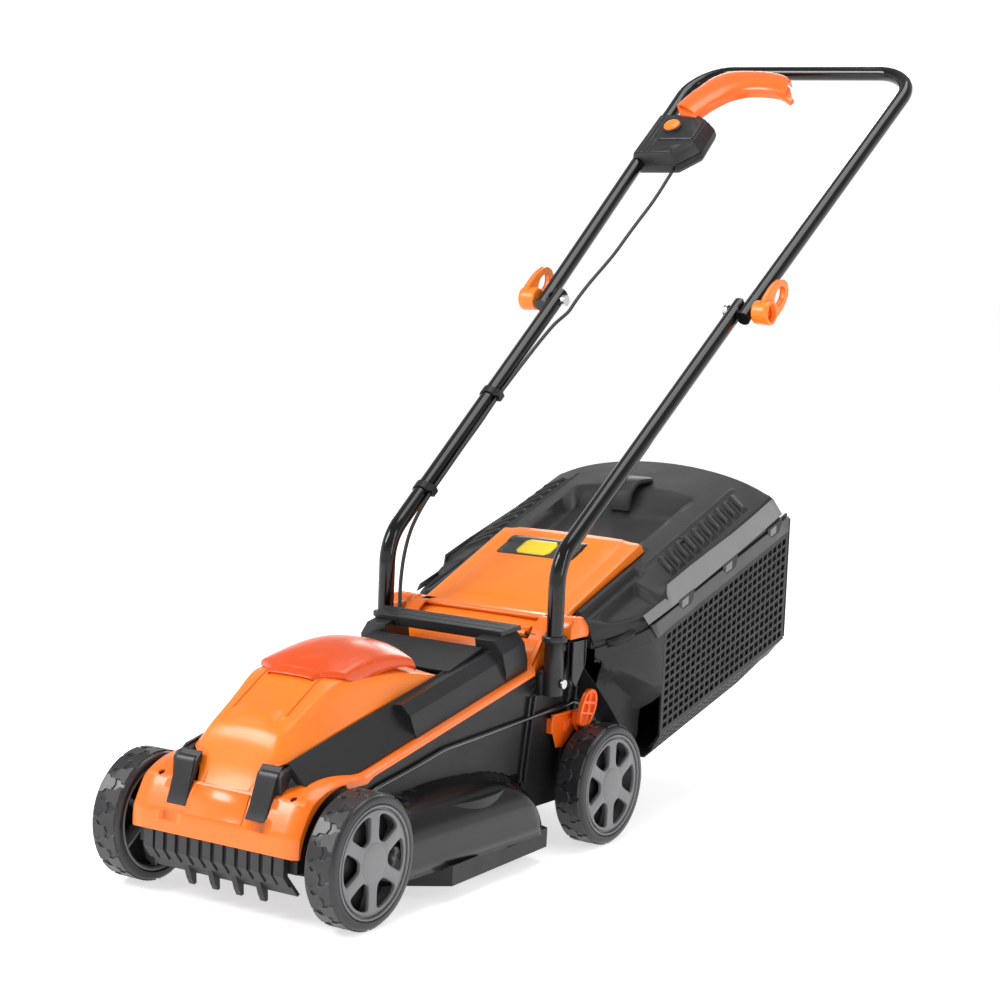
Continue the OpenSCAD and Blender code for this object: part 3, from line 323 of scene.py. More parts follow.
def from_curve(name, data, matrix, sharp):
    """The mesh piece that a curve makes."""
    curve = bpy.data.objects.new(name, data)
    scene.collection.objects.link(curve)
    depsgraph = bpy.context.evaluated_depsgraph_get()
    mesh = bpy.data.meshes.new_from_object(curve.evaluated_get(depsgraph))
    bpy.data.objects.remove(curve)
    mesh.transform(matrix)
    clean(mesh, sharp)
    return link_mesh(name, mesh)


def grid(name, rows, matrix=BODY, ring=False, skip=None, sharp=35):
    """Quads between rows of points. ring closes each row, skip(i, j) leaves a cell open."""
    wide = len(rows[0])
    faces = []
    for i in range(len(rows) - 1):
        for j in range(wide if ring else wide - 1):
            if skip and skip(i, j):
                continue
            k = (j + 1) % wide
            faces.append((i * wide + j, i * wide + k, (i + 1) * wide + k, (i + 1) * wide + j))
    return from_faces(name, [p for row in rows for p in row], faces, matrix, sharp)


def loft(name, rings, matrix=BODY, sharp=35):
    """A closed solid through rings of points, with flat ends."""
    wide = len(rings[0])
    faces = [
        (i * wide + j, i * wide + (j + 1) % wide, (i + 1) * wide + (j + 1) % wide, (i + 1) * wide + j)
        for i in range(len(rings) - 1)
        for j in range(wide)
    ]
    faces += [tuple(range(wide)), tuple(range((len(rings) - 1) * wide, len(rings) * wide))]
    return from_faces(name, [p for ring in rings for p in ring], faces, matrix, sharp)


def prism(name, outline, low, high, matrix=BODY, plane="yz", sharp=35):
    """A flat outline pushed from low to high along the third axis."""
    def point(p, t):
        return {"yz": (t, p[0], p[1]), "xz": (p[0], t, p[1]), "xy": (p[0], p[1], t)}[plane]

    return loft(name, [[point(p, t) for p in outline] for t in (low, high)], matrix, sharp)


def rounded(points, radius, steps=4):
    """An outline with each corner replaced by an arc-like curve."""
    out = []
    count = len(points)
    for i, p in enumerate(points):
        p, a, b = Vector(p), Vector(points[i - 1]), Vector(points[(i + 1) % count])
        to_a, to_b = a - p, b - p
        cut = min(radius, to_a.length * 0.45, to_b.length * 0.45)
        start, end = p + to_a.normalized() * cut, p + to_b.normalized() * cut
        for k in range(steps + 1):
            t = k / steps
            out.append(tuple((1 - t) ** 2 * start + 2 * t * (1 - t) * p + t * t * end))
    return out


def plate(name, outer, holes, thickness, matrix, edge=0.0):
    """A flat plate with holes, standing from z = 0 to thickness in its own matrix, with rolled edges."""
    data = bpy.data.curves.new(name, "CURVE")
    data.dimensions = "2D"
    data.fill_mode = "BOTH"
    data.extrude = thickness / 2 - edge
    data.bevel_depth = edge
    data.bevel_resolution = 1
    data.offset = -edge
    for outline in [outer] + list(holes):
        spline = data.splines.new("POLY")
        spline.points.add(len(outline) - 1)
        for point, p in zip(spline.points, outline):
            point.co = (p[0], p[1], 0, 1)
        spline.use_cyclic_u = True
    return from_curve(name, data, matrix @ Matrix.Translation((0, 0, thickness / 2)), 30)


def wire(name, points, radius, smooth=True):
    """A round bar or cable along points."""
    data = bpy.data.curves.new(name, "CURVE")
    data.dimensions = "3D"
    data.bevel_depth = radius
    data.bevel_resolution = 6
    data.use_fill_caps = True
    data.resolution_u = 8
    spline = data.splines.new("NURBS" if smooth else "POLY")
    spline.points.add(len(points) - 1)
    for point, p in zip(spline.points, points):
        point.co = (*p, 1)
    if smooth:
        spline.order_u = 3
        spline.use_endpoint_u = True
    return from_curve(name, data, BODY, 50)


def turned(name, profile, matrix, steps=96, sharp=35):
    """A solid turned about local Z from (radius, height) points."""
    rows = [
        [(r * math.cos(a), r * math.sin(a), h) for a in [2 * math.pi * k / steps for k in range(steps)]]
        for r, h in profile
    ]
    return grid(name, rows, matrix, ring=True, sharp=sharp)


def bevel(piece, width, segments=2):
    """Adds a modifier that rounds the piece's sharp edges, with its width in millimetres."""
    mod = piece.modifiers.new("edges", "BEVEL")
    mod.width = width * 0.001
    mod.segments = segments
    mod.limit_method = "ANGLE"
    mod.angle_limit = math.radians(32)
    mod.harden_normals = True
    return piece


def thicken(piece, wall, out=(0, 0, 1)):
    """Gives an open skin, whose outer side faces `out` on the whole, a wall that grows inward."""
    total = Vector((0, 0, 0))
    for polygon in piece.data.polygons:
        total += polygon.normal * polygon.area
    if total.dot(Vector(out)) < 0:
        piece.data.flip_normals()
    mod = piece.modifiers.new("wall", "SOLIDIFY")
    mod.thickness = wall * 0.001
    mod.offset = -1
    mod.use_even_offset = False
    return piece


def joined(name, parts):
    """Several meshes made into one piece."""
    bm = bmesh.new()
    depsgraph = bpy.context.evaluated_depsgraph_get()
    for part in parts:
        mesh = bpy.data.meshes.new_from_object(part.evaluated_get(depsgraph))
        bm.from_mesh(mesh)
        bpy.data.meshes.remove(mesh)
    mesh = bpy.data.meshes.new(name)
    bm.to_mesh(mesh)
    bm.free()
    for part in parts:
        bpy.data.objects.remove(part)
    piece = link_mesh(name, mesh)
    mesh.shade_smooth()
    mesh.set_sharp_from_angle(angle=math.radians(35))
    return piece


def fit(piece, body, mat, slot, *replaced):
    """Gives a piece its body and material and hides the CAD nodes it stands for; slot is not used."""
    piece.data.materials.clear()
    piece.data.materials.append(M[mat])
    if body:
        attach(piece, body)
    if replaced:
        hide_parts(*replaced)
    return piece


def mirrored(points):
    return [(-p[0], *p[1:]) for p in points]


# ---- carried-over CAD nodes --------------------------------------------------------------------

CAD_LOOKS = {
    "satin": ["shroud", "carry_handle"],
    "black": ["deck", "flap_pin", "fold_spacers", "cable_clips", "axle_bushes", "battery_tray",
              "battery_pack", "blade_carrier"],
    "comb": ["front_comb"],
    "red": ["safety_key"],
    "tube": ["lower_tube_left", "lower_tube_right", "upper_handle"],
    "steel": ["motor_shaft", "motor_plate", "blade_bolt", "front_axle", "rear_axle", "front_clips",
              "rear_clips", "socket_screws", "cover_screws", "fold_bolts"],
    "blade": ["blade"],
    "motor": ["motor"],
    "board": ["controller_box"],
}
EDGES = {
    "shroud": 1.5, "carry_handle": 1.2, "front_comb": 0.6, "deck": 0.8, "battery_pack": 2.0,
    "battery_tray": 0.8, "controller_box": 1.0, "blade": 0.3,
}
for look_name, names in CAD_LOOKS.items():
    for node_name in names:
        piece = NODES[node_name]
        piece.data.materials.clear()
        piece.data.materials.append(M[look_name])
        if node_name in EDGES:
            bevel(piece, EDGES[node_name])

# ---- wheels ------------------------------------------------------------------------------------


def arc(radius, start, end, steps):
    """Points on an arc about the origin, from start to end in degrees."""
    angles = [math.radians(start + (end - start) * k / steps) for k in range(steps + 1)]
    return [(radius * math.cos(a), radius * math.sin(a)) for a in angles]


TREAD_BASE = 78.2
TREAD_TOP = 79.9
TREAD_PITCHES = 17


def tread_block(outline, pitch_start, side, matrix, steps=3):
    """One tread block: its outline is (share of a pitch, distance across), bent round the wheel."""
    pitch = 2 * math.pi / TREAD_PITCHES
    middle = [sum(p[k] for p in outline) / len(outline) for k in (0, 1)]
    rings = []
    for radius, inset in ((TREAD_BASE - 0.5, 1.0), (TREAD_TOP - 0.6, 0.98), (TREAD_TOP, 0.93)):
        ring = []
        for k, p in enumerate(outline):
            q = outline[(k + 1) % len(outline)]
            for s in range(steps):
                u = p[0] + (q[0] - p[0]) * s / steps
                x = p[1] + (q[1] - p[1]) * s / steps
                u = middle[0] + (u - middle[0]) * inset
                x = middle[1] + (x - middle[1]) * inset
                angle = (pitch_start + u) * pitch
                ring.append((radius * math.cos(angle), radius * math.sin(angle), side * x))
        rings.append(ring)
    return loft("block", rings, matrix, sharp=25)


def wheel(label, x, y):
    out = 1 if x > 0 else -1
    matrix = at(x, y, WHEEL_R) @ turned_by(90 * out, "Y")
    half = TYRE_W / 2
    shape = [(67.3, 1.5), (69, 0.2), (73.5, 0.3), (76, 1.4), (77.6, 3.4), (TREAD_BASE, 6)]
    around = [(r, depth - half) for r, depth in shape] + [(r, half - depth) for r, depth in reversed(shape)]
    carcass = turned("carcass", around + around[:1], matrix, 102)
    parts = [carcass]
    shoulder = [(0.04, 17), (0.04, 11.5), (0.2, 7.5), (0.18, -1), (0.46, -4.5), (0.74, -1), (0.72, 7.5),
                (0.88, 11.5), (0.88, 17)]
    for i in range(TREAD_PITCHES):
        parts.append(tread_block(shoulder, i, 1, matrix))
        parts.append(tread_block(shoulder, i + 0.5, -1, matrix))
    tyre = joined("tyre_" + label + "_tread", parts)
    fit(tyre, "wheel_" + label, "tyre", "tyre_rubber", "tyre_" + label)

    # hub: a dished face with six windows inside a grooved rim
    window = rounded(
        [(26.5, -5.5), (34, -11), (51.5, -20.5), (56, -12), (57.3, 0), (56, 12), (51.5, 20.5), (34, 11),
         (26.5, 5.5)], 7, 3)
    windows = []
    for i in range(6):
        turn = Matrix.Rotation(math.radians(60 * i + 30), 2)
        windows.append([tuple(turn @ Vector(p)) for p in window])
    face = plate("face", arc(59.8, 0, 357, 119), windows, 5.5, matrix @ Matrix.Translation((0, 0, 15)), 1.1)
    rim = turned("rim", [
        (59, 16), (59, 20.3), (60, 21), (61, 20.5), (61.3, 17.5), (63.6, 17.5), (64, 21.2), (65, 22.2),
        (66.4, 21.8), (67, 20), (67, -20), (65, -21), (62.5, -19), (62, 14), (59, 16)], matrix)
    cap = turned("cap", [(0.01, 22.3), (12, 22.2), (19, 21.7), (22.5, 20.9), (23.4, 19.4), (23.4, 14),
                         (0.01, 14)], matrix, 64)
    boss = turned("boss", [(6.1, -23), (12, -23), (12, 15), (6.1, 15), (6.1, -23)], matrix, 32)
    ribs = [
        prism("rib", [(10, -8), (63, -16), (63, 15.5), (10, 15.5)], -1.6, 1.6,
              matrix @ turned_by(60 * i, "Z"), "xz")
        for i in range(6)
    ]
    hub = joined("hub_" + label + "_spoked", [face, rim, cap, boss] + ribs)
    fit(hub, "wheel_" + label, "hub", "light_grey_plastic", "hub_" + label)
    # dark dished shell seen through the windows: a black sheet of painted shade where the wheel is hollow
    shell_line = [(13, 9.5), (40, 8), (58, 2), (61.5, -6), (61.5, -8), (57, 0), (40, 6), (13, 7.5), (13, 9.5)]
    painted_shade_dish = turned("hub_" + label + "_dish", shell_line, matrix, 72)
    fit(painted_shade_dish, "wheel_" + label, "black", "black_plastic")


for end, y in (("front", -AXLE_Y), ("rear", AXLE_Y)):
    for side, x in (("left", WHEEL_X), ("right", -WHEEL_X)):
        wheel(f"{end}_{side}", x, y)

# ---- body panels -------------------------------------------------------------------------------


def cut(piece, cutters):
    """Takes the cutters out of a piece and keeps only the result."""
    for cutter in cutters:
        mod = piece.modifiers.new("cut", "BOOLEAN")
        mod.object = cutter
        mod.solver = "EXACT"
    depsgraph = bpy.context.evaluated_depsgraph_get()
    mesh = bpy.data.meshes.new_from_object(piece.evaluated_get(depsgraph))
    piece.modifiers.clear()
    piece.data = mesh
    for cutter in cutters:
        bpy.data.objects.remove(cutter)
    clean(mesh, 35)
    return piece


def between(table, y):
    """Row of values at y, straight between the rows of a table whose first column rises."""
    if y <= table[0][0]:
        return table[0][1:]
    for a, b in zip(table, table[1:]):
        if y <= b[0]:
            t = (y - a[0]) / (b[0] - a[0])
            return tuple(p + (q - p) * t for p, q in zip(a[1:], b[1:]))
    return table[-1][1:]


def step(value, low, high):
    """Smooth step from 0 at low to 1 at high."""
    t = min(1.0, max(0.0, (value - low) / (high - low)))
    return t * t * (3 - 2 * t)


def smooth_line(points, steps=6):
    """Catmull-Rom curve through points of any dimension."""
    out = []
    last = len(points) - 1
    for i in range(last):
        p0, p1, p2, p3 = (points[max(0, i - 1)], points[i], points[i + 1], points[min(last, i + 2)])
        for k in range(steps):
            t = k / steps
            out.append(tuple(
                0.5 * (2 * b + (c - a) * t + (2 * a - 5 * b + 4 * c - d) * t * t
                       + (3 * b - a - 3 * c + d) * t ** 3)
                for a, b, c, d in zip(p0, p1, p2, p3)))
    out.append(tuple(points[-1]))
    return out


def both(make, body, mat, slot, *replaced):
    """A mirrored pair: make(side) returns the mesh for side 1 (left, +X) or -1."""
    for side, label in ((1, "left"), (-1, "right")):
        fit(make(side), body, mat, slot, *[node.format(label) for node in replaced])


def sill(y):
    """Height of the side ledge of the orange cover."""
    return 200.5 + 0.2175 * y


# orange cover: nose, wheel humps and ledges in one skin
NOSE = smooth_line([(-334.5, 86), (-334.3, 98), (-333, 110.5)], 3)[:-1] + smooth_line(
    [(-333, 110.5), (-323.5, 129), (-314, 144.5), (-305, 151.5), (-295, 156.5), (-284, 160.5),
     (-270, 163.3), (-256, 164.8), (-241, 165), (-228, 164.3), (-216, 163.2), (-204, 163)], 3)
CHAMFER = 5.5
ARCH_CENTRE = Vector((-245, 76))
ARCH_R = 82.3


def rim(i):
    """Outer edge of the chamfer beside nose point i, then the edge of the wheel arch below it."""
    a, b = Vector(NOSE[max(0, i - 1)]), Vector(NOSE[min(len(NOSE) - 1, i + 1)])
    along = (b - a).normalized()
    inward = Vector((along.y, -along.x))
    p = Vector(NOSE[i]) + inward * CHAMFER
    arch = ARCH_CENTRE + (p - ARCH_CENTRE).normalized() * ARCH_R
    if p.x > ARCH_CENTRE.x:
        arch = Vector((p.x, 152.3))
    if p.y < 88:
        arch = Vector((-325.5, 86.5))
    return p, arch


def cover_skin(side):
    rows = []
    for i, (y, z) in enumerate(NOSE):
        p, arch = rim(i)
        rows.append([(side * 125, arch.x, arch.y), (side * 125, p.x, p.y), (side * 118.5, y, z),
                     (side * 100, y, z), (side * 86, y, z), (side * 72, y, z)])
    for y in (-190, -160, -120, -80, -40, 0, 40, 80, 120, 150):
        z = sill(y)
        rows.append([(side * 125, y, z), (side * 125, y, z + 4.4), (side * 123.2, y, z + 6),
                     (side * 105, y, z + 6), (side * 90, y, z + 6), (side * 76, y, z + 6)])
    return rows


BRIDGE = [(150, sill(150) + 6), (158, 245), (168, 257), (180, 273), (188, 282), (196, 292), (206, 298),
          (216, 300), (240, 300)]
cover_parts = []
for side in (1, -1):
    cover_parts.append(thicken(grid("skin", cover_skin(side), sharp=24), 3))
    rows = [[(side * x, y, z) for x in ((114 if 152 < y < 200 else 124.9), 108, 92)] for y, z in BRIDGE]
    cover_parts.append(thicken(grid("bridge", rows), 3))
    cover_parts.append(bevel(prism("wall", [(152, 238), (160, 226), (186, 240), (200, 262), (240, 262),
                                            (240, 299), (216, 299), (205, 297), (195, 291), (187, 281),
                                            (170, 259)],
                                   side * 108, side * 114), 0.6))
front_rows = [[(x, y, z) for x in (72, 44, 0, -44, -72)] for y, z in NOSE if y < -309]
cover_parts.append(thicken(grid("front", front_rows, sharp=24), 3, (0, -1, 0.5)))
REAR_BRIDGE = [(212, 298), (216, 300), (240, 300), (240, 264), (236, 264), (236, 296), (212, 294)]
SILL_BRIDGE = [(140, 232), (150, 240.5), (158, 246), (168, 258), (180, 274), (180, 268), (168, 252),
               (156, 240), (140, 228)]
for name, outline in (("rear_bridge", REAR_BRIDGE), ("sill_bridge", SILL_BRIDGE)):
    cover_parts.append(bevel(prism(name, outline, -108, 108), 0.8))
# middle of the nose stands proud between the black strips
cover_parts.append(bevel(loft("apron", [
    [(x, y - 1.4, z + 0.8), (x, y + 3, z - 1)] + [(-x, y + 3, z - 1), (-x, y - 1.4, z + 0.8)]
    for x, y, z in ((42.5, -332.4, 112.6), (42, -323.6, 129), (41, -314.8, 144.4))]), 0.7))
for side in (1, -1):
    block = prism("corner", [(199, 276), (199, 291), (205, 299), (212, 303), (227, 303.5), (240, 291),
                             (243, 282), (241, 276)], side * 112, side * 147)
    cover_parts.append(bevel(block, 2.0, 3))
cover = joined("cover_shell", cover_parts)
holes = []
for side in (1, -1):
    for x, y, z, lean in ((99, -309, 149, 38), (130, 223, 300, 0)):
        holes.append(turned("hole", [(0.01, -9), (4.3, -9), (4.3, 6), (0.01, 6)],
                            at(side * x, y, z) @ turned_by(lean, "X"), 24))
cut(cover, holes)
fit(cover, "chassis", "nose", "orange_plastic", "top_cover")

# hood: y, z of the middle line, half-width of the crown, and the lower corner of the side
HOOD = [
    (-313, 145, 40, 46, -303, 149), (-306, 156, 42, 49, -298, 163), (-299, 169, 45, 56, -294, 176.5),
    (-293, 184, 47, 66, -288, 180), (-286, 201, 49.5, 73, -280, 182), (-275, 215.5, 50.5, 75, -268, 185),
    (-254, 228, 53, 76, -246, 190), (-237, 238, 55, 76, -228, 194.3), (-220, 247.8, 57.5, 76, -212, 198),
    (-203, 258, 60, 76, -194, 202), (-186, 265.5, 62, 76, -178, 206), (-165, 267, 63.5, 76, -160, 211),
    (-146, 266, 65, 76, -146, 214.4), (-110, 265, 66.5, 76, -110, 222), (-75, 263.5, 68, 76, -75, 229),
    (-40, 259, 71, 76.5, -40, 238), (-5, 253, 74.5, 77, -5, 247.4)]


def hood_row(y, z, edge, sx, sy, sz):
    groove = min(40, edge * 0.8)
    sunk = 1.8 * step(y, -256, -252) * (1 - step(y, -190, -186))
    boss = 2.0 * step(y, -271, -266) * (1 - step(y, -250, -245))
    half = []
    for x in (0, 12, 29, 31.5, 34, groove - 1.6, groove - 0.9, groove + 0.9, groove + 1.6, groove + 4,
              max(edge * 0.97, groove + 5)):
        fall = 4.5 * (x / edge) ** 2.6
        lift = boss if x < 30 else 0
        drop = sunk if abs(x - groove) < 1.2 else 0
        # the slope faces forward and up, so detail moves along its own normal
        half.append((x, y + (drop - lift) * 0.45, z - fall + (lift - drop) * 0.9))
    top = half[-1]
    for t, out in ((0.03, 1.8), (0.1, 3.0), (0.3, 3.2), (0.6, 2.2), (0.85, 1.0), (1, 0)):
        half.append((top[0] + (sx - top[0]) * t + out, top[1] + (sy - top[1]) * t,
                     top[2] + (sz - top[2]) * t))
    return mirrored(half[:0:-1]) + half


hood = grid("hood_shell", [hood_row(*row) for row in smooth_line(HOOD, 4)], sharp=40)
thicken(hood, 2.6)
fit(hood, "chassis", "orange", "orange_plastic", "hood")

# battery lid: y, half-width, middle height, height of its shoulder, and its lower edge
LID = [
    (-198, 32.8, 264.4, 263.6, 260.5), (-193, 34.8, 268.5, 267.4, 261), (-188, 37.7, 271.9, 270.4, 262),
    (-186.5, 42, 273.2, 270.8, 262.5), (-179, 54, 277.6, 271, 263), (-173, 64, 280.6, 270.6, 263.5),
    (-160, 65, 287, 272.6, 257.5), (-146, 65.2, 291.5, 274.6, 253), (-132, 65.5, 294.6, 276.4, 256.5),
    (-112, 66, 297.3, 278.4, 261.5), (-92, 66.6, 297.6, 278.4, 264), (-72, 67.5, 295.6, 276.8, 265),
    (-56, 69.4, 292.4, 274, 264), (-45, 70.6, 289.2, 271.4, 262.5), (-41.5, 70.9, 285.5, 269, 261.5),
    (-40, 71, 278, 265, 260.5), (-39.6, 71, 262, 260, 258)]


def lid_row(y, w, z, shoulder, low):
    half = []
    for f in (0, 0.15, 0.3, 0.45, 0.58, 0.7, 0.8, 0.88, 0.94):
        half.append((w * f, y, z - (z - shoulder) * f ** 2.3))
    half += [(w * 0.985, y, shoulder - 0.6), (w, y, shoulder - 2.2),
             (w + 0.4, y, shoulder - (shoulder - low) * 0.6), (w + 0.3, y, low)]
    return mirrored(half[:0:-1]) + half


lid = thicken(grid("lid_shell", [lid_row(*row) for row in smooth_line(LID, 3)], sharp=45), 2.4)
fit(lid, "lid", "lid", "clear_lid", "battery_lid")


def arm(side):
    """Black arm that runs from the strip on the nose back along the hood."""
    top = [(73.2, -327, 121), (74.2, -318.5, 143), (74.8, -309.5, 169.5), (75.2, -304, 176),
           (75.8, -297, 179), (76, -280, 183), (76, -256, 188.8), (76.2, -230, 195), (76.4, -200, 202)]
    low = [(74.5, -322, 119), (77, -311, 140), (80, -303, 149), (83, -297, 152), (88, -290, 156),
           (95, -278, 161), (103, -256, 164), (108, -230, 163.5), (110.5, -200, 163.5)]
    rows = []
    for a, b in zip(smooth_line(top, 4), smooth_line(low, 4)):
        rows.append([(side * (a[0] + (b[0] - a[0]) * t - 2.5 * math.sin(math.pi * t)),
                      a[1] + (b[1] - a[1]) * t, a[2] + (b[2] - a[2]) * t) for t in (0, 0.25, 0.5, 0.75, 1)]
                    + [(side * (b[0] - 8), b[1], b[2] - 3), (side * (a[0] - 9), a[1] + 4, a[2] - 8)])
    return bevel(loft("arm_" + hand(side), rows, sharp=40), 0.8)


both(arm, "chassis", "satin", "black_plastic")


def strip_plate(side):
    """Flat black strip down the nose, turning back over the top of the arm."""
    line = smooth_line([(-327.2, 119.5), (-323, 129), (-316.5, 147), (-311, 163), (-308.4, 169.6),
                        (-305.5, 172.6), (-300, 173.6), (-290, 172.5)], 4)
    rings = []
    for i, (y, z) in enumerate(line):
        t = min(1, i / 16)
        a, b = Vector(line[max(0, i - 1)]), Vector(line[min(len(line) - 1, i + 1)])
        n = Vector((-(b - a).y, (b - a).x)).normalized()
        x0, x1 = 44.7 + 4.3 * t, 73.2 + 2.2 * t
        rings.append([(side * x0, y + n.x * 2.2, z + n.y * 2.2), (side * x1, y + n.x * 2.2, z + n.y * 2.2),
                      (side * x1, y - n.x * 7, z - n.y * 7), (side * x0, y - n.x * 7, z - n.y * 7)])
    return bevel(loft("strip_" + hand(side), rings, sharp=30), 1.0)


both(strip_plate, "chassis", "satin", "black_plastic")


BULGE_STEPS = 56


def bulge(side):
    """Rounded housing over the blade circle."""
    section = [(117.6, 130.6), (120, 130.5), (128, 128.6), (134, 126), (141, 123), (149, 119.4), (156, 116),
               (162, 111.4), (167.4, 106), (171.4, 101), (174.5, 95.3), (176.4, 88.6), (177.6, 82),
               (177.8, 70), (177.8, 58), (177.8, 43.5)]
    reach = [(43, 237.4), (58, 237.4), (66, 235.6), (76, 231.6), (86, 226), (96, 217.6), (105, 206.6),
             (113, 193.6), (118.5, 178.6), (123, 160.6), (126, 140.6), (130, 120.6)]
    rows = []
    for k in range(BULGE_STEPS + 1):
        y = -262 + 404 * k / BULGE_STEPS
        row = []
        for x, z in section:
            radius = between(reach, z)[0]
            limit = math.sqrt(max(1, radius ** 2 - (y - HOUSING_Y) ** 2))
            row.append((side * max(117.2, min(x, limit)), y, z))
        rows.append(row)
    return thicken(grid("housing_" + hand(side), rows, sharp=60), 1.5, (side, 0, 0.5))


both(bulge, "chassis", "gloss", "black_plastic")


def corner_bracket(side):
    """Dark slotted bracket under the rear corner block."""
    parts = []
    for x in (117, 127, 137, 144):
        parts.append(prism("web", [(206, 276), (206, 222), (216, 212), (238, 240), (240, 276)],
                           side * x, side * (x + 2.6)))
    parts.append(prism("floor", [(206, 276), (206, 272), (240, 272), (240, 276)], side * 117, side * 146.6))
    parts.append(prism("back", [(232, 276), (232, 236), (236, 240), (236, 276)], side * 117, side * 146.6))
    for part in parts:
        bevel(part, 0.6, 1)
    return joined("corner_bracket_" + hand(side), parts)


both(corner_bracket, "chassis", "satin", "black_plastic")


def side_details(side):
    """Tick vents below the socket and ribs in the rear recess."""
    parts = []
    for i in range(4):
        parts.append(prism("tick", [(150 + i * 1.5, 222 - i * 9), (160 + i * 1.5, 224 - i * 9),
                                    (160 + i * 1.5, 226 - i * 9), (150 + i * 1.5, 224 - i * 9)],
                           side * 117.5, side * 119.6))
    for y0 in (128, 140, 222, 240):
        parts.append(prism("rib", [(y0, 96), (y0 + 3, 96), (y0 + 21, 205), (y0 + 18, 205)],
                           side * 116.5, side * 122))
    return joined("side_detail_" + hand(side), parts)


both(side_details, "chassis", "satin", "black_plastic")


def socket(side):
    """Slim sleeve round the handle tube, with a collar on top and a foot on the side wall."""
    base = at(side * TUBE_FOOT[0], TUBE_FOOT[1], 0)
    parts = [turned("sleeve", [(11.2, 206), (12.4, 205), (13.4, 206), (13.2, 240), (12.8, 274.5),
                               (15.6, 275), (16.6, 276.2), (16.8, 281), (15.8, 282.6), (13, 283),
                               (11.6, 282.4), (11.2, 280), (11.2, 206)], base, 48),
             bevel(prism("foot", [(163, 205), (191, 205), (191, 233), (186, 238), (168, 238), (163, 233)],
                         side * 117.6, side * 127), 0.8),
             bevel(prism("lug", [(186, 262), (196, 262), (196, 270), (186, 272)], side * 128, side * 142),
                   0.6)]
    return joined("socket_sleeve_" + hand(side), parts)


both(socket, "chassis", "satin", "black_plastic", "socket_{}")

# ---- rear flap ---------------------------------------------------------------------------------


def flap_height(u, v):
    lift = 1.5 * step(v, 58, 66) * (1 - step(abs(u), 84, 90))
    lift += 1.2 * step(v, 205, 208) * (1 - step(abs(u), 96, 100))
    crown = 2.2 * (1 - (u / 112) ** 2)
    roll = -11 * (1 - step(v, -14, 14)) if v < 14 else 0
    return lift + crown - 2.4 + roll


# how far the rear lip has turned down at the last rows of the flap
FLAP_TAIL = {248.4: 5, 249.4: 14, 249.6: 14}
rows = []
for v in (-12, -9, -5, 0, 6, 14, 30, 57, 60, 63, 67, 100, 150, 204, 206.5, 209, 235, 245, 248.4, 249.4,
          249.6):
    tail = FLAP_TAIL.get(v, 0)
    row = []
    for u in (-113, -112.4, -110, -99, -91, -88, -85, -60, -30, 0, 30, 60, 85, 88, 91, 99, 110, 112.4, 113):
        side_lip = 5 + v * 0.04 if abs(u) > 112.8 else (1.2 if abs(u) > 112 else 0)
        row.append((u, v, flap_height(u, v) - max(side_lip if v > 10 else 0, tail)))
    rows.append(row)
flap_parts = [thicken(grid("plate", rows, FLAP, sharp=28), 2.4)]
for x in (-70, 0, 70):
    flap_parts.append(turned("knuckle", [(2.2, -15), (4.6, -15), (5.1, -14.4), (5.1, 14.4), (4.6, 15),
                                         (2.2, 15), (2.2, -15)], crosswise(x, 187, 278), 32))
    web = prism("web", [(-11, -11), (-4, 0.3), (4, 0.3), (4, -4), (-5, -9)], x - 15, x + 15, FLAP)
    flap_parts.append(bevel(web, 0.6, 1))
flap = joined("flap_panel", flap_parts)
fit(flap, "flap", "orange", "orange_plastic", "rear_flap")


def sticker(name, low, high, v0, v1, corner, above, mat, slot):
    """A thin sheet that follows the flap's surface, with cut corners."""
    rows = []
    for k in range(13):
        v = v0 + (v1 - v0) * k / 12
        nip = max(0, corner - min(v - v0, v1 - v))
        across = [low + nip + (high - low - 2 * nip) * j / 16 for j in range(17)]
        rows.append([(u, v, flap_height(u, v) + above) for u in across])
    fit(thicken(grid(name, rows, FLAP), 0.3), "flap", mat, slot)


sticker("flap_label", -80, 45, 172, 221, 3, 0.4, "label", "black_plastic")
sticker("flap_label_patch", -52, 4, 176, 213, 7, 0.7, "label_yellow", "orange_plastic")

# ---- grass box ---------------------------------------------------------------------------------

SEAM_SLOPE = 0.303
BOX_HALF = 189.6


def seam(y):
    """Height of the line where the lid of the grass box meets its basket."""
    return 308 + SEAM_SLOPE * (y - 421)


def box_half(y):
    """Half-width of the grass box, rounded in towards its front."""
    return BOX_HALF - (42 * ((365 - y) / 107) ** 2 if y < 365 else 0)


def crown(x, y):
    """Height of the lid's smooth top, before its steps and hollows."""
    return 456.1 + (y - 650) * 0.36 - x * x / 1150 - 9 * (x / 190) ** 6


def cover_top(x, y):
    a = abs(x)
    z = crown(a, y)
    front = 1 - step(y, 362, 366)
    # shoulders step down in front
    z -= 15 * front * step(a, 140, 144)
    # trough that the flap lies in, with a raised rail and a lower ledge at its side
    trough = 1 - step(y, 436, 442)
    z -= trough * 18 * (1 - step(a, 114, 116.5))
    z += (1 - step(y, 388, 392)) * 3 * step(a, 116.5, 119) * (1 - step(a, 125, 127))
    z -= (1 - step(y, 388, 392)) * 7 * step(a, 127, 129) * (1 - step(a, 139, 140.5))
    # dished hollow around the carrying handle
    bowl = step(y, 438, 450) * (1 - step(y, min(588, 556 + (a - 40) * 0.5), 592))
    bowl *= 1 - step(a, min(94, 76 + (y - 440) * 0.12), 98)
    z -= 26 * bowl
    # low rim around the middle panel
    z += 1.6 * step(a, 128, 129.5) * (1 - step(a, 132.5, 134)) * step(y, 396, 400) * (1 - step(y, 646, 650))
    return z


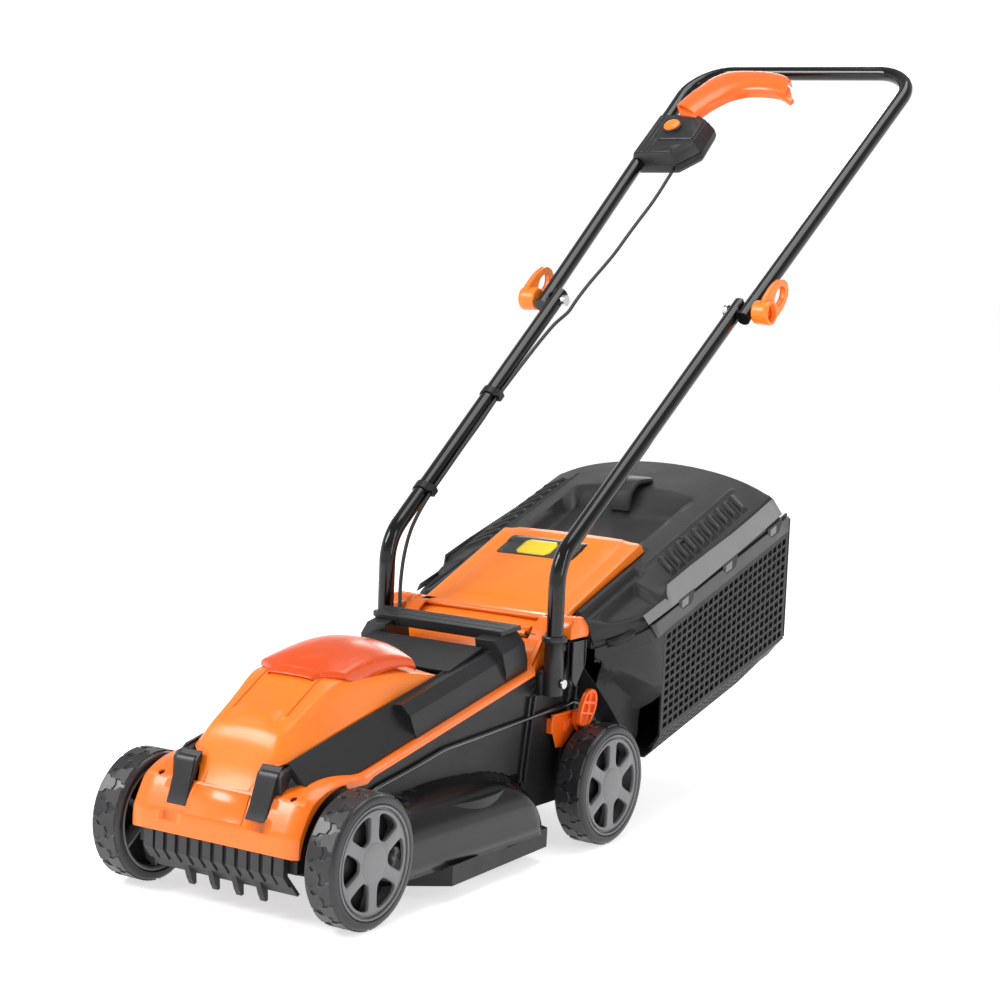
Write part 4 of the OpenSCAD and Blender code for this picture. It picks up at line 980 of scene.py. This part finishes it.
ROWS_Y = ([256.5, 258, 262, 270, 285, 300, 315, 330, 345, 356, 362, 364, 366, 369, 374, 387, 389, 391, 393,
           396, 398, 400, 410, 428, 436, 438, 440, 442, 446, 450, 460, 480, 505, 530, 548, 556, 563, 570,
           577, 584, 592, 600, 615, 630, 642, 646, 648, 650, 656, 664, 672, 676])
COLS = [0, 15, 30, 45, 60, 70, 76, 82, 88, 92, 98, 106, 113, 114, 115.2, 116.5, 118, 119, 125, 126, 127,
        128, 129.5, 132.5, 134, 139, 140.5, 142, 144, 152, 162, 170]


# upper and lower edges of the grey trim: y, z
TRIM_TOP = [(320.6, 298.7), (380, 316.9), (381.3, 334.7), (440, 353.9), (580, 395.4), (676.6, 429.7)]
TRIM_LOW = [(323.9, 286.8), (399, 307.8), (571, 362.6), (695, 405.6)]


def lid_edge(y):
    """Upper edge of the side band, where the top surface ends."""
    if y < 320.6:
        return 298.7 + (y - 320.6) * 0.307
    return between(TRIM_TOP, y)[0]


rows = []
for y in ROWS_Y:
    half_w = box_half(y)
    cols = [min(c, half_w - 17) for c in COLS]
    row = [(x, y, max(cover_top(x, y), seam(y) + 2)) for x in cols]
    top = row[-1][2]
    edge = min(lid_edge(y), top - 0.5)
    band_low = max(seam(y) + 6, min(between(TRIM_LOW, y)[0], seam(y) + 8))
    row += [(half_w - 12, y, top + (edge - top) * 0.45), (half_w - 7.4, y, edge + 0.3),
            (half_w - 6.9, y, edge - 1.2), (half_w - 0.8, y, band_low), (half_w - 3.4, y, band_low - 1),
            (half_w - 3.4, y, seam(y) + 2)]
    rows.append(mirrored(row[:0:-1]) + row)
last_row = rows[-1]
for y, share in ((677.5, 0.03), (686, 0.4), (695, 0.78), (706, 0.94), (714, 1.0), (722, 1.0)):
    low = seam(714)
    rows.append([(x, y, z + (min(z, low) - z) * share) for x, _, z in last_row])
skin = thicken(grid("skin", rows, sharp=32), 2.4)
first_row = rows[0]
seam_row = [(x, y, min(z, seam(256))) for x, y, z in first_row]
front_wall = thicken(grid("front_wall", [first_row, seam_row]), 2.6, (0, -1, 0))
parts = [skin, front_wall]
LOUVRE_STEP = 21.8
# sawtooth louvres: each rises to the rear and drops sharply, and its outer end lies further forward
for i in range(10):
    for side in (1, -1):
        ring = []
        for x, back in ((138, 0), (141, 1), (167, 13), (171, 15)):
            y0 = 430 + LOUVRE_STEP * i - back
            lift = 6 if 140 < x < 168 else 0.5
            outline = ((-4, -4), (-3, lift - 1.2), (-1, lift), (1, lift), (13, 0.4), (13, -2))
            ring.append([(side * x, y0 + dy, cover_top(x, y0 + dy) + rise) for dy, rise in outline])
        parts.append(bevel(loft("louvre", ring, sharp=30), 0.5, 1))
fit(joined("box_lid", parts), "grass_box", "dark", "dark_grey_plastic", "box_cover")


def latch_bar(y):
    """Cross bar of the small frame that stands beside the hollow, on the left."""
    z = 374 + (y - 480) * 0.375
    return prism("bar", [(y, z), (y + 3, z + 1.1), (y + 3, z + 6.4), (y, z + 5.3)], 129, 142)


latch_parts = [prism("frame", [(480, 374), (496, 380), (496, 385), (480, 379)], x, x + 3)
               for x in (127, 141)]
latch_parts += [latch_bar(480), latch_bar(493)]
latch = joined("box_latch", [bevel(part, 0.5, 1) for part in latch_parts])
fit(latch, "grass_box", "dark", "dark_grey_plastic")

# orange flap over the fill sensor, lying on the crown
indicator_rows = [[(-x, y, cover_top(x, y) + 1.6) for x in (150, 154, 158, 162, 165)]
                  for y in (548, 558, 568, 578, 588)]
indicator = thicken(grid("fill_indicator", indicator_rows), 1.4)
fit(indicator, "fill_indicator", "red", "orange_plastic", "fill_flap")

# carrying loop in the hollow
loop = smooth_line([(0, 556, 404), (0, 557, 418), (0, 562, 431), (0, 575, 441), (0, 592, 444.5),
                    (0, 612, 444)], 5)
# across as a share of the half-width, and up from the middle line
LOOP_SECTION = [(-1, 0), (-0.93, 3.6), (-0.7, 5), (0.7, 5), (0.93, 3.6), (1, 0), (0.9, -3.5), (-0.9, -3.5)]
rings = []
for i, (_, y, z) in enumerate(loop):
    a, b = Vector(loop[max(0, i - 1)]), Vector(loop[min(len(loop) - 1, i + 1)])
    d = (b - a).normalized()
    n = Vector((0, -d.z, d.y))
    half_w = 17 + 4 * step(y, 575, 612)
    rings.append([(half_w * w, y + n.y * h, z + n.z * h) for w, h in LOOP_SECTION])
handle = loft("box_loop", rings, sharp=40)
fit(handle, "grass_box", "dark", "dark_grey_plastic", "box_handle")


def crease(y):
    """Height of the fold between the box's side and its lower chamfer."""
    return 222 + 0.2564 * (y - 723)


def is_hole(i, j):
    """Odd cells between odd bars are open."""
    return i % 2 == 1 and j % 2 == 1


def mesh_plate(name, front, back, top, low, rows_n, cols_n, bars, to_point, margin):
    """A panel of small rectangular holes between the lines top(y) and low(y), as a grid of bars."""
    bar_v, bar_h = bars
    ys = [front - margin]
    for c in range(cols_n):
        y0 = front + (back - front) * c / cols_n
        y1 = front + (back - front) * (c + 1) / cols_n
        ys += [y0 + bar_v / 2, y1 - bar_v / 2]
    ys.append(back + margin)
    ts = [-margin]
    for r in range(rows_n):
        ts += [(r, bar_h / 2), (r + 1, -bar_h / 2)]
    ts.append(margin)
    rows = []
    for k, t in enumerate(ts):
        row = []
        for y in ys:
            a, b = top(y), low(y)
            if k == 0:
                z = a + margin
            elif k == len(ts) - 1:
                z = b - margin
            else:
                z = a + (b - a) * t[0] / rows_n - t[1]
            row.append(to_point(y, z))
        rows.append(row)
    return grid(name, rows, skip=is_hole)


def basket_side(side):
    outward = (side, 0, 0)
    parts = []
    # main mesh
    main = mesh_plate("mesh", 372, 713, lambda y: seam(y) - 24, lambda y: crease(y) + 5, 12, 24, (3.4, 4.0),
                      lambda y, z: (side * 189.8, y, z), 5)
    parts.append(thicken(main, 2.4, outward))
    # flatter rows on the lower chamfer, which narrows to nothing at the rear corner

    def bottom(y):
        return 168 + (y - 611) * 0.2667 if y < 611 else 168 + (y - 611) * 0.482

    def chamfer_x(y, z):
        depth = (crease(y) - z) / 28
        return (side * (189.6 - 16 * max(0, depth)), y, z)

    low = mesh_plate("low", 372, 650, lambda y: crease(y) - 1.5, lambda y: bottom(y) + 1.5, 4, 20,
                     (4.2, 2.4), chamfer_x, 1.5)
    parts.append(thicken(low, 2.4, outward))
    tail = [[chamfer_x(y, crease(y)), chamfer_x(y, (crease(y) + bottom(y)) / 2), chamfer_x(y, bottom(y))]
            for y in (650, 675, 700, 722)]
    parts.append(thicken(grid("tail", tail), 2.4, outward))
    # rim below the seam
    rim_rows = [[(side * (box_half(y) - 4.4), y, seam(y) + 7),
                 (side * (box_half(y) - 4.2), y, seam(y) - 0.5), (side * box_half(y), y, seam(y) - 1),
                 (side * box_half(y), y, seam(y) - 19.5)]
                for y in (258, 275, 290, 305, 320, 340, 365, 460, 560, 660, 720)]
    parts.append(thicken(grid("rim", rim_rows), 2.6, outward))
    # smooth front panel, with the hollow that clears the rear wheel
    rows = []
    for y in (258, 266, 276, 288, 302, 318, 334, 350, 367):
        row = []
        for k in range(15):
            top_z = seam(y) - 19
            low_z = max(100 + (y - 356) * 0.2667, 250 - (y - 256) * 1.48)
            z = top_z + (low_z - top_z) * k / 14
            from_axle = math.hypot(y - AXLE_Y, z - WHEEL_R)
            tuck = 34 * (1 - step(from_axle, 132, 150))
            row.append((side * (box_half(y) - tuck - 10 * step(crease(y) - z, 0, 28)), y, z))
        rows.append(row)
    parts.append(thicken(grid("front_panel", rows, sharp=50), 2.4, outward))
    # bottom and rear
    for y0, z0, y1, z1 in ((356, 100, 611, 168), (611, 168, 722.5, 222)):
        floor_rows = [[(0, y, z), (side * 90, y, z), (side * (174 if y < 700 else 188), y, z)]
                      for y, z in ((y0, z0), ((y0 + y1) / 2, (z0 + z1) / 2), (y1, z1))]
        parts.append(thicken(grid("floor", floor_rows), 2.4, (0, 0, -1)))
    slope_rows = [[(0, y, z), (side * 85, y, z), (side * (box_half(y) - 34), y, z)]
                  for y, z in ((256, 250), (290, 199.6), (330, 140.6), (356, 101))]
    parts.append(thicken(grid("front_slope", slope_rows), 2.4, (0, -1, -1)))
    xs, zs = [0.5], [224]
    for c in range(12):
        xs += [12 + 14 * c + 1.7, 12 + 14 * (c + 1) - 1.7]
    xs.append(189.8)
    for r in range(11):
        zs += [238 + 12 * r + 2, 238 + 12 * (r + 1) - 2]
    zs.append(398)
    wall_rows = [[(side * x, 722.6, z) for x in xs] for z in zs]
    parts.append(thicken(grid("rear", wall_rows, skip=is_hole), 2.4, (0, 1, 0)))
    # dark sheets behind the holes: painted shade standing in for the box's shaded inside
    lining = [[(side * 185.5, y, top), (side * 185.5, y, crease(y) - 2), (side * 168, y, crease(y) - 26)]
              for y, top in ((371, 290), (540, 342), (718, 396))]
    parts.append(thicken(grid("lining", lining), 1, outward))
    rear_lining = [[(side * x, 717.5, z) for x in (2, 186)] for z in (226, 396)]
    parts.append(thicken(grid("rear_lining", rear_lining), 1, (0, 1, 0)))
    parts.append(wire("rear_edge", [(side * 188.6, 721.6, 224), (side * 188.6, 721.6, 396)], 1.4,
                      smooth=False))
    return joined("basket_" + hand(side), parts)


both(basket_side, "grass_box", "dark", "dark_grey_plastic", "box_basket_{}")


def trim(side):
    """Light grey band that leans in along the side of the cover."""
    rows = []
    for y in (320.6, 326, 345, 365, 380, 381.3, 400, 440, 500, 560, 610, 640, 660, 676.6):
        top = between(TRIM_TOP, y)[0]
        y_low = y + 3.3 + 15.1 * step(y, 610, 676.6)
        low = between(TRIM_LOW, y_low)[0]
        rows.append([(side * (BOX_HALF - 8), y, top - 0.6), (side * (BOX_HALF - 6.8), y, top + 0.3),
                     (side * (BOX_HALF + 0.2), y_low, low + 0.8), (side * (BOX_HALF - 0.4), y_low, low)])
    return thicken(grid("trim_" + hand(side), rows, sharp=30), 1.2, (side, 0, 0.3))


both(trim, "grass_box", "grey", "light_grey_plastic", "box_trim_{}")


CLIPS_Y = (422.6, 543, 673)


def lower_rim(side):
    """Mid grey flange under the trim, with its front end cut at a slant."""
    rows = []
    for y_top, y_low in ((332, 349), (345, 356), (367, 370), (400, 400), (470, 470), (540, 540), (610, 610),
                         (680, 680), (718, 718)):
        rows.append([(side * (BOX_HALF - 2.6), y_top, seam(y_top) + 3.4),
                     (side * (BOX_HALF + 0.1), y_top, seam(y_top) + 2.6),
                     (side * (BOX_HALF + 0.1), y_low, seam(y_low) - 20),
                     (side * (BOX_HALF - 0.8), y_low, seam(y_low) - 20.6)])
    return thicken(grid("strip_" + hand(side), rows, sharp=30), 1.2, (side, 0, 0))


def slanted(side, y, outline, x0, x1):
    """A flat block on the side of the box, leaning with its seam."""
    z = seam(y)
    return loft("block", [[(side * x, y + dy, z + dz + dy * SEAM_SLOPE) for dy, dz in outline]
                          for x in (x0, x1)])


# black patches round the clips: painted shade in the notches they sit in
def clip_notches(side):
    parts = [slanted(side, y, [(-20, 9), (-20, 1), (-6, -9), (16, -9), (21, -2), (21, 9)], 186, 189.85)
             for y in CLIPS_Y]
    return joined("clip_notches_" + hand(side), parts)


def clips(side):
    parts = [bevel(slanted(side, y, [(-12, 5), (-12, -4), (-8, -6), (6, -6), (6, 6)], 187, 189.95), 0.6, 1)
             for y in CLIPS_Y]
    return joined("box_clips_" + hand(side), parts)


def front_slot(side):
    """Dark slot in the smooth front panel, drawn as a black sheet of painted shade on its surface."""
    rows = [[(side * (box_half(y) + 0.15), y, seam(y) + dz) for dz in (high, low)]
            for y, high, low in ((272, 5, -4), (288, 6, -6), (304, 8, -5), (309, 5, -3))]
    return thicken(grid("front_slot_" + hand(side), rows), 1, (side, 0, 0))


both(lower_rim, "grass_box", "rim_grey", "dark_grey_plastic")
both(clip_notches, "grass_box", "black", "black_plastic")
both(clips, "grass_box", "grey", "light_grey_plastic")
both(front_slot, "grass_box", "black", "black_plastic")

# ---- handle ------------------------------------------------------------------------------------

# bail: a glossy channel that curves in from the switch box
OUTER = smooth_line([(-170, 476), (-164, 501), (-154, 527), (-142, 553), (-119, 570), (-81, 573),
                     (-39, 568), (-14, 559), (1, 547)], 5)
INNER = smooth_line([(-123, 449), (-113, 473), (-103, 489), (-90, 504), (-73, 513), (-56, 517), (-30, 516),
                     (-9, 512), (11, 506)], 5)
rings = []
for i, (a, b) in enumerate(zip(OUTER, INNER)):
    share = i / (len(OUTER) - 1)
    ring = []
    for f, n in ((0, 9), (0, 19), (0.04, 23), (0.14, 26), (0.32, 28), (0.5, 28.6), (0.7, 28), (0.88, 25.5),
                 (0.97, 22), (1, 18), (1, 9), (0.93, 9), (0.92, 17), (0.8, 23), (0.5, 25.6), (0.2, 23.5),
                 (0.08, 18), (0.07, 9)):
        ring.append((a[0] + (b[0] - a[0]) * f, a[1] + (b[1] - a[1]) * f, n))
    rings.append(ring)
bail_parts = [loft("channel", rings, GRIP, sharp=40)]
root = [(-168, 474), (-153, 453), (-124, 446), (-116, 468), (-150, 486), (-166, 490)]
bail_parts.append(bevel(prism("root", root, 9, 21, GRIP, "xy"), 1.0))
bail_parts.append(bevel(loft("tip", [[(-4, 540, n), (8, 528, n), (20, 506, n), (27, 498, n), (23, 489, n),
                                      (8, 500, n), (-6, 508, n)] for n in (12, 19)], GRIP), 1.2))
fit(joined("bail_channel", bail_parts), "bail", "red", "red_plastic", "bail_lever")

SWITCH_TOP = [(-188, 347), (-190, 455), (-125, 457), (-99, 440), (-98, 385), (-122, 352)]
SWITCH_SIDE = [(-193, 344), (-195, 459), (-122, 461), (-92, 444), (-87, 381), (-114, 346)]
SWITCH_LOW = [(-189, 350), (-191, 454), (-126, 456), (-102, 442), (-98, 386), (-120, 354)]


def mixed(a, b, t):
    """Ring outline part of the way from outline a to outline b, with small corner radii."""
    return rounded([(p[0] + (q[0] - p[0]) * t, p[1] + (q[1] - p[1]) * t) for p, q in zip(a, b)], 3.5, 2)


def shell(name, levels):
    return loft(name, [[(x, v, n) for x, v in mixed(a, b, t)] for a, b, t, n in levels], GRIP, sharp=26)


BUTTON = GRIP @ Matrix.Translation((-150, 418, 0))
base = shell("switch_lower", [(SWITCH_LOW, SWITCH_TOP, 0, -20), (SWITCH_LOW, SWITCH_SIDE, 0.7, -18),
                              (SWITCH_SIDE, SWITCH_LOW, 0, -12), (SWITCH_SIDE, SWITCH_LOW, 0, -2.6),
                              (SWITCH_SIDE, SWITCH_LOW, 0.12, -2)])
fit(bevel(base, 0.6, 1), "handle", "black", "black_plastic", "switch_base")
parts = [shell("top", [(SWITCH_SIDE, SWITCH_TOP, 0.2, -1.8), (SWITCH_SIDE, SWITCH_TOP, 0.05, -1),
                       (SWITCH_SIDE, SWITCH_TOP, 0.7, 12), (SWITCH_TOP, SWITCH_SIDE, 0, 15.4),
                       (SWITCH_LOW, SWITCH_TOP, 0.8, 16.4)])]
for k in range(3):
    x = -186 + 8.4 * k
    groove = [(x, 353), (x + 5.4, 353), (x + 4.2, 449), (x - 1.2, 449)]
    parts.append(bevel(prism("groove", groove, 15.8, 17.9, GRIP, "xy"), 0.9))
raised = [(-162, 388), (-171, 402), (-172, 448), (-128, 450), (-104, 436), (-103, 390)]
parts.append(bevel(prism("panel", raised, 15.8, 18.6, GRIP, "xy"), 1.4))
low_panel = [(-160, 356), (-158, 376), (-116, 376), (-126, 356)]
parts.append(bevel(prism("front_panel", low_panel, 15.8, 17.2, GRIP, "xy"), 0.6))
parts.append(turned("ring", [(13.6, 17), (16.4, 17.2), (16.2, 22.4), (15.4, 23.6), (14.2, 23.6),
                             (13.6, 22.6), (13.6, 17)], BUTTON, 48))
fit(joined("switch_upper", parts), "handle", "satin", "black_plastic", "switch_cover")
dome = [(0.01, 27.6), (6, 27.4), (10, 26.7), (12.6, 25.4), (13.4, 23.8), (13.4, 22.8), (0.01, 22.8)]
button = turned("button", dome, BUTTON, 48)
fit(button, "button", "orange", "orange_plastic", "lock_button")


def knob(side):
    """A hub with a hollow end and a flat loop to grip, round the fold bolt."""
    turn = GRIP @ turned_by(90, "Y")
    if side < 0:
        turn = GRIP @ turned_by(180, "Z") @ turned_by(90, "Y")
    hub_mesh = turned("hub", [(4.2, 180.8), (14.6, 180.8), (16.2, 182), (16.8, 185), (17.2, 196),
                              (17.8, 203), (16.4, 206.4), (13.4, 207), (12.4, 205.6), (12, 196.6),
                              (4.2, 196), (4.2, 180.8)], turn, 64)
    outline = rounded([(-12, 10), (4, 19), (34, 20), (58, 14), (67, 0), (62, -13), (44, -20), (16, -20),
                       (-6, -15)], 16, 5)
    opening = rounded([(21, 5), (34, 13), (53, 10), (60, -1), (50, -13), (32, -14), (22, -7)], 7, 4)
    centre = [(12 * math.cos(a), 12 * math.sin(a)) for a in [2 * math.pi * k / 40 for k in range(40)]]
    loop_at = GRIP @ Matrix.Translation((side * 197 - 4, 0, 0)) @ Matrix(
        ((0, 0, 1, 0), (1, 0, 0, 0), (0, 1, 0, 0), (0, 0, 0, 1)))
    ring = plate("loop", outline, [opening, centre], 8, loop_at, 1.8)
    return joined("knob_grip_" + hand(side), [hub_mesh, ring])


for side, label in ((1, "left"), (-1, "right")):
    fit(knob(side), label + "_knob", "orange", "orange_plastic", "knob_" + label)

# cable: one length clipped to the right-hand tubes
CABLE = [
    (-122, 880, 903), (-122, 868, 893), (-122, 858, 884), (-123, 840, 866), (-124, 815, 844),
    (-126, 785, 820), (-128, 755, 795), (-129, 725, 770), (-131, 695, 748), (-133, 665, 727),
    (-133, 638, 708), (-133, 620, 694), (-132, 605, 682), (-133, 592, 675), (-134, 576, 667),
    (-133, 560, 659), (-132, 528, 639), (-132, 496, 616), (-131, 456, 588), (-129, 416, 561),
    (-127, 376, 529), (-126, 336, 500), (-124, 290, 465), (-123, 253, 437), (-121, 226, 414),
    (-119, 204, 390), (-116, 188, 360), (-112, 177, 328), (-108, 171, 300), (-106, 170, 285),
    (-106, 170, 270)]
cable = wire("cable", CABLE, 2.6)
fit(cable, None, "sheath", "cable_rubber", "cable_upper", "cable_lower")
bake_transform(cable)

# rod between the cranks
rod_ends = [(-198.9, 136.3), (324.1, 136.3)]
rod = smooth_line([rod_ends[0], (-177, 143.4), (-140, 149.5), (-104, 155.5), (-62, 163.5), (-42, 166.9),
                   (-22, 168.2), (30, 170.9), (130, 176.8), (200, 181), (236, 183), (262, 182), (300, 160),
                   rod_ends[1]], 4)
ROD_X = 121.3
ROD_EYE = [(3.1, -2.4), (6.2, -2.4), (6.5, -2), (6.5, 2), (6.2, 2.4), (3.1, 2.4), (3.1, -2.4)]
rod_parts = [wire("bar", [(ROD_X, y, z) for y, z in rod], 2.9)]
for y, z in rod_ends:
    rod_parts.append(turned("eye", ROD_EYE, crosswise(ROD_X, y, z), 32))
fit(joined("rod", rod_parts), "rod", "wire", "black_tube", "link_rod")

# height lever: an arm from the rear crank and a latticed paddle turned outward; the guide stays on the deck
LEVER_Y, LEVER_Z = 299.1, 66.3
lever_parts = [
    turned("eye", [(5.1, -2.4), (12, -2.4), (12.4, -2), (12.4, 2), (12, 2.4), (5.1, 2.4), (5.1, -2.4)],
           crosswise(133.7, LEVER_Y, LEVER_Z), 40),
    bevel(prism("arm", [(LEVER_Y - 10, LEVER_Z + 2), (LEVER_Y + 9, LEVER_Z + 6), (LEVER_Y + 2, 116),
                        (262, 163), (258, 171), (236, 172), (234, 160), (280, 108)], 131.3, 136.1), 0.6, 1),
    bevel(loft("neck", [[(x, y0, 160), (x, y1, 158), (x, y1, 171), (x, y0, 176)]
                        for x, y0, y1 in ((131.4, 234, 256), (146, 230, 252))]), 0.8, 1)]


def paddle_point(u, v, out):
    """A spot on the gently curved paddle: u rearward, v upward."""
    return (146 + out - 0.012 * (v - 20) ** 2 * 0.25, 226 + u + 0.2 * v, 160 + v - 0.1 * u)


PADDLE = [(0, 2), (8, -2), (26, -1), (34, 14), (37, 32), (32, 45), (18, 47), (4, 36), (-2, 20)]
WINDOWS = [[(4, 4), (14, 2), (15, 13), (4, 14)], [(18, 2), (24, 2), (28, 12), (18, 13)],
           [(3, 18), (15, 17), (16, 27), (5, 28)], [(19, 17), (30, 15), (32, 26), (19, 27)],
           [(7, 32), (16, 31), (17, 41), (14, 41)], [(20, 31), (32, 30), (30, 40), (20, 42)]]
flat = plate("flat", rounded(PADDLE, 7, 4), [rounded(w, 1.5, 2) for w in WINDOWS], 7, Matrix.Identity(4),
             0.8)
for vert in flat.data.vertices:
    vert.co = BODY @ Vector(paddle_point(vert.co.x, vert.co.y, vert.co.z - 3.5))
clean(flat.data, 30)
lever_parts.append(flat)
web = [(228, 165), (252, 163), (266, 178), (268, 198), (256, 203), (240, 200), (231, 186)]
lever_parts.append(prism("web", web, 143.2, 144.4))
fit(joined("lever_paddle", lever_parts), "rear_crank", "red", "red_plastic", "height_lever")

sector = [(193, 176), (196, 152), (206, 130), (222, 129), (250, 148), (256, 160), (252, 176)]
guide = [bevel(prism("sector", sector, 125, 126.6), 0.4, 1),
         bevel(prism("ledge", [(193, 173), (252, 173), (252, 176), (193, 176)], 124.8, 129.8), 0.5, 1),
         bevel(prism("foot", [(194, 150), (202, 150), (202, 170), (194, 170)], 117.5, 126), 0.5, 1)]
for k in range(6):
    y, z = 224 + 4.4 * k, 150 + 2.2 * k
    tooth = [(y, z), (y + 2, z), (y + 2, 164 + k), (y, 164 + k)]
    guide.append(bevel(prism("tooth", tooth, 126.2, 129.6), 0.4, 1))
fit(joined("lever_guide", guide), "chassis", "red", "red_plastic", "lever_plate")

# ---- floor -------------------------------------------------------------------------------------

floor = link_mesh("floor", bpy.data.meshes.new("floor"))
floor.data.from_pydata([(-30, -30, 0), (30, -30, 0), (30, 30, 0), (-30, 30, 0)], [], [(0, 1, 2, 3)])
floor.data.materials.append(floor_mat)
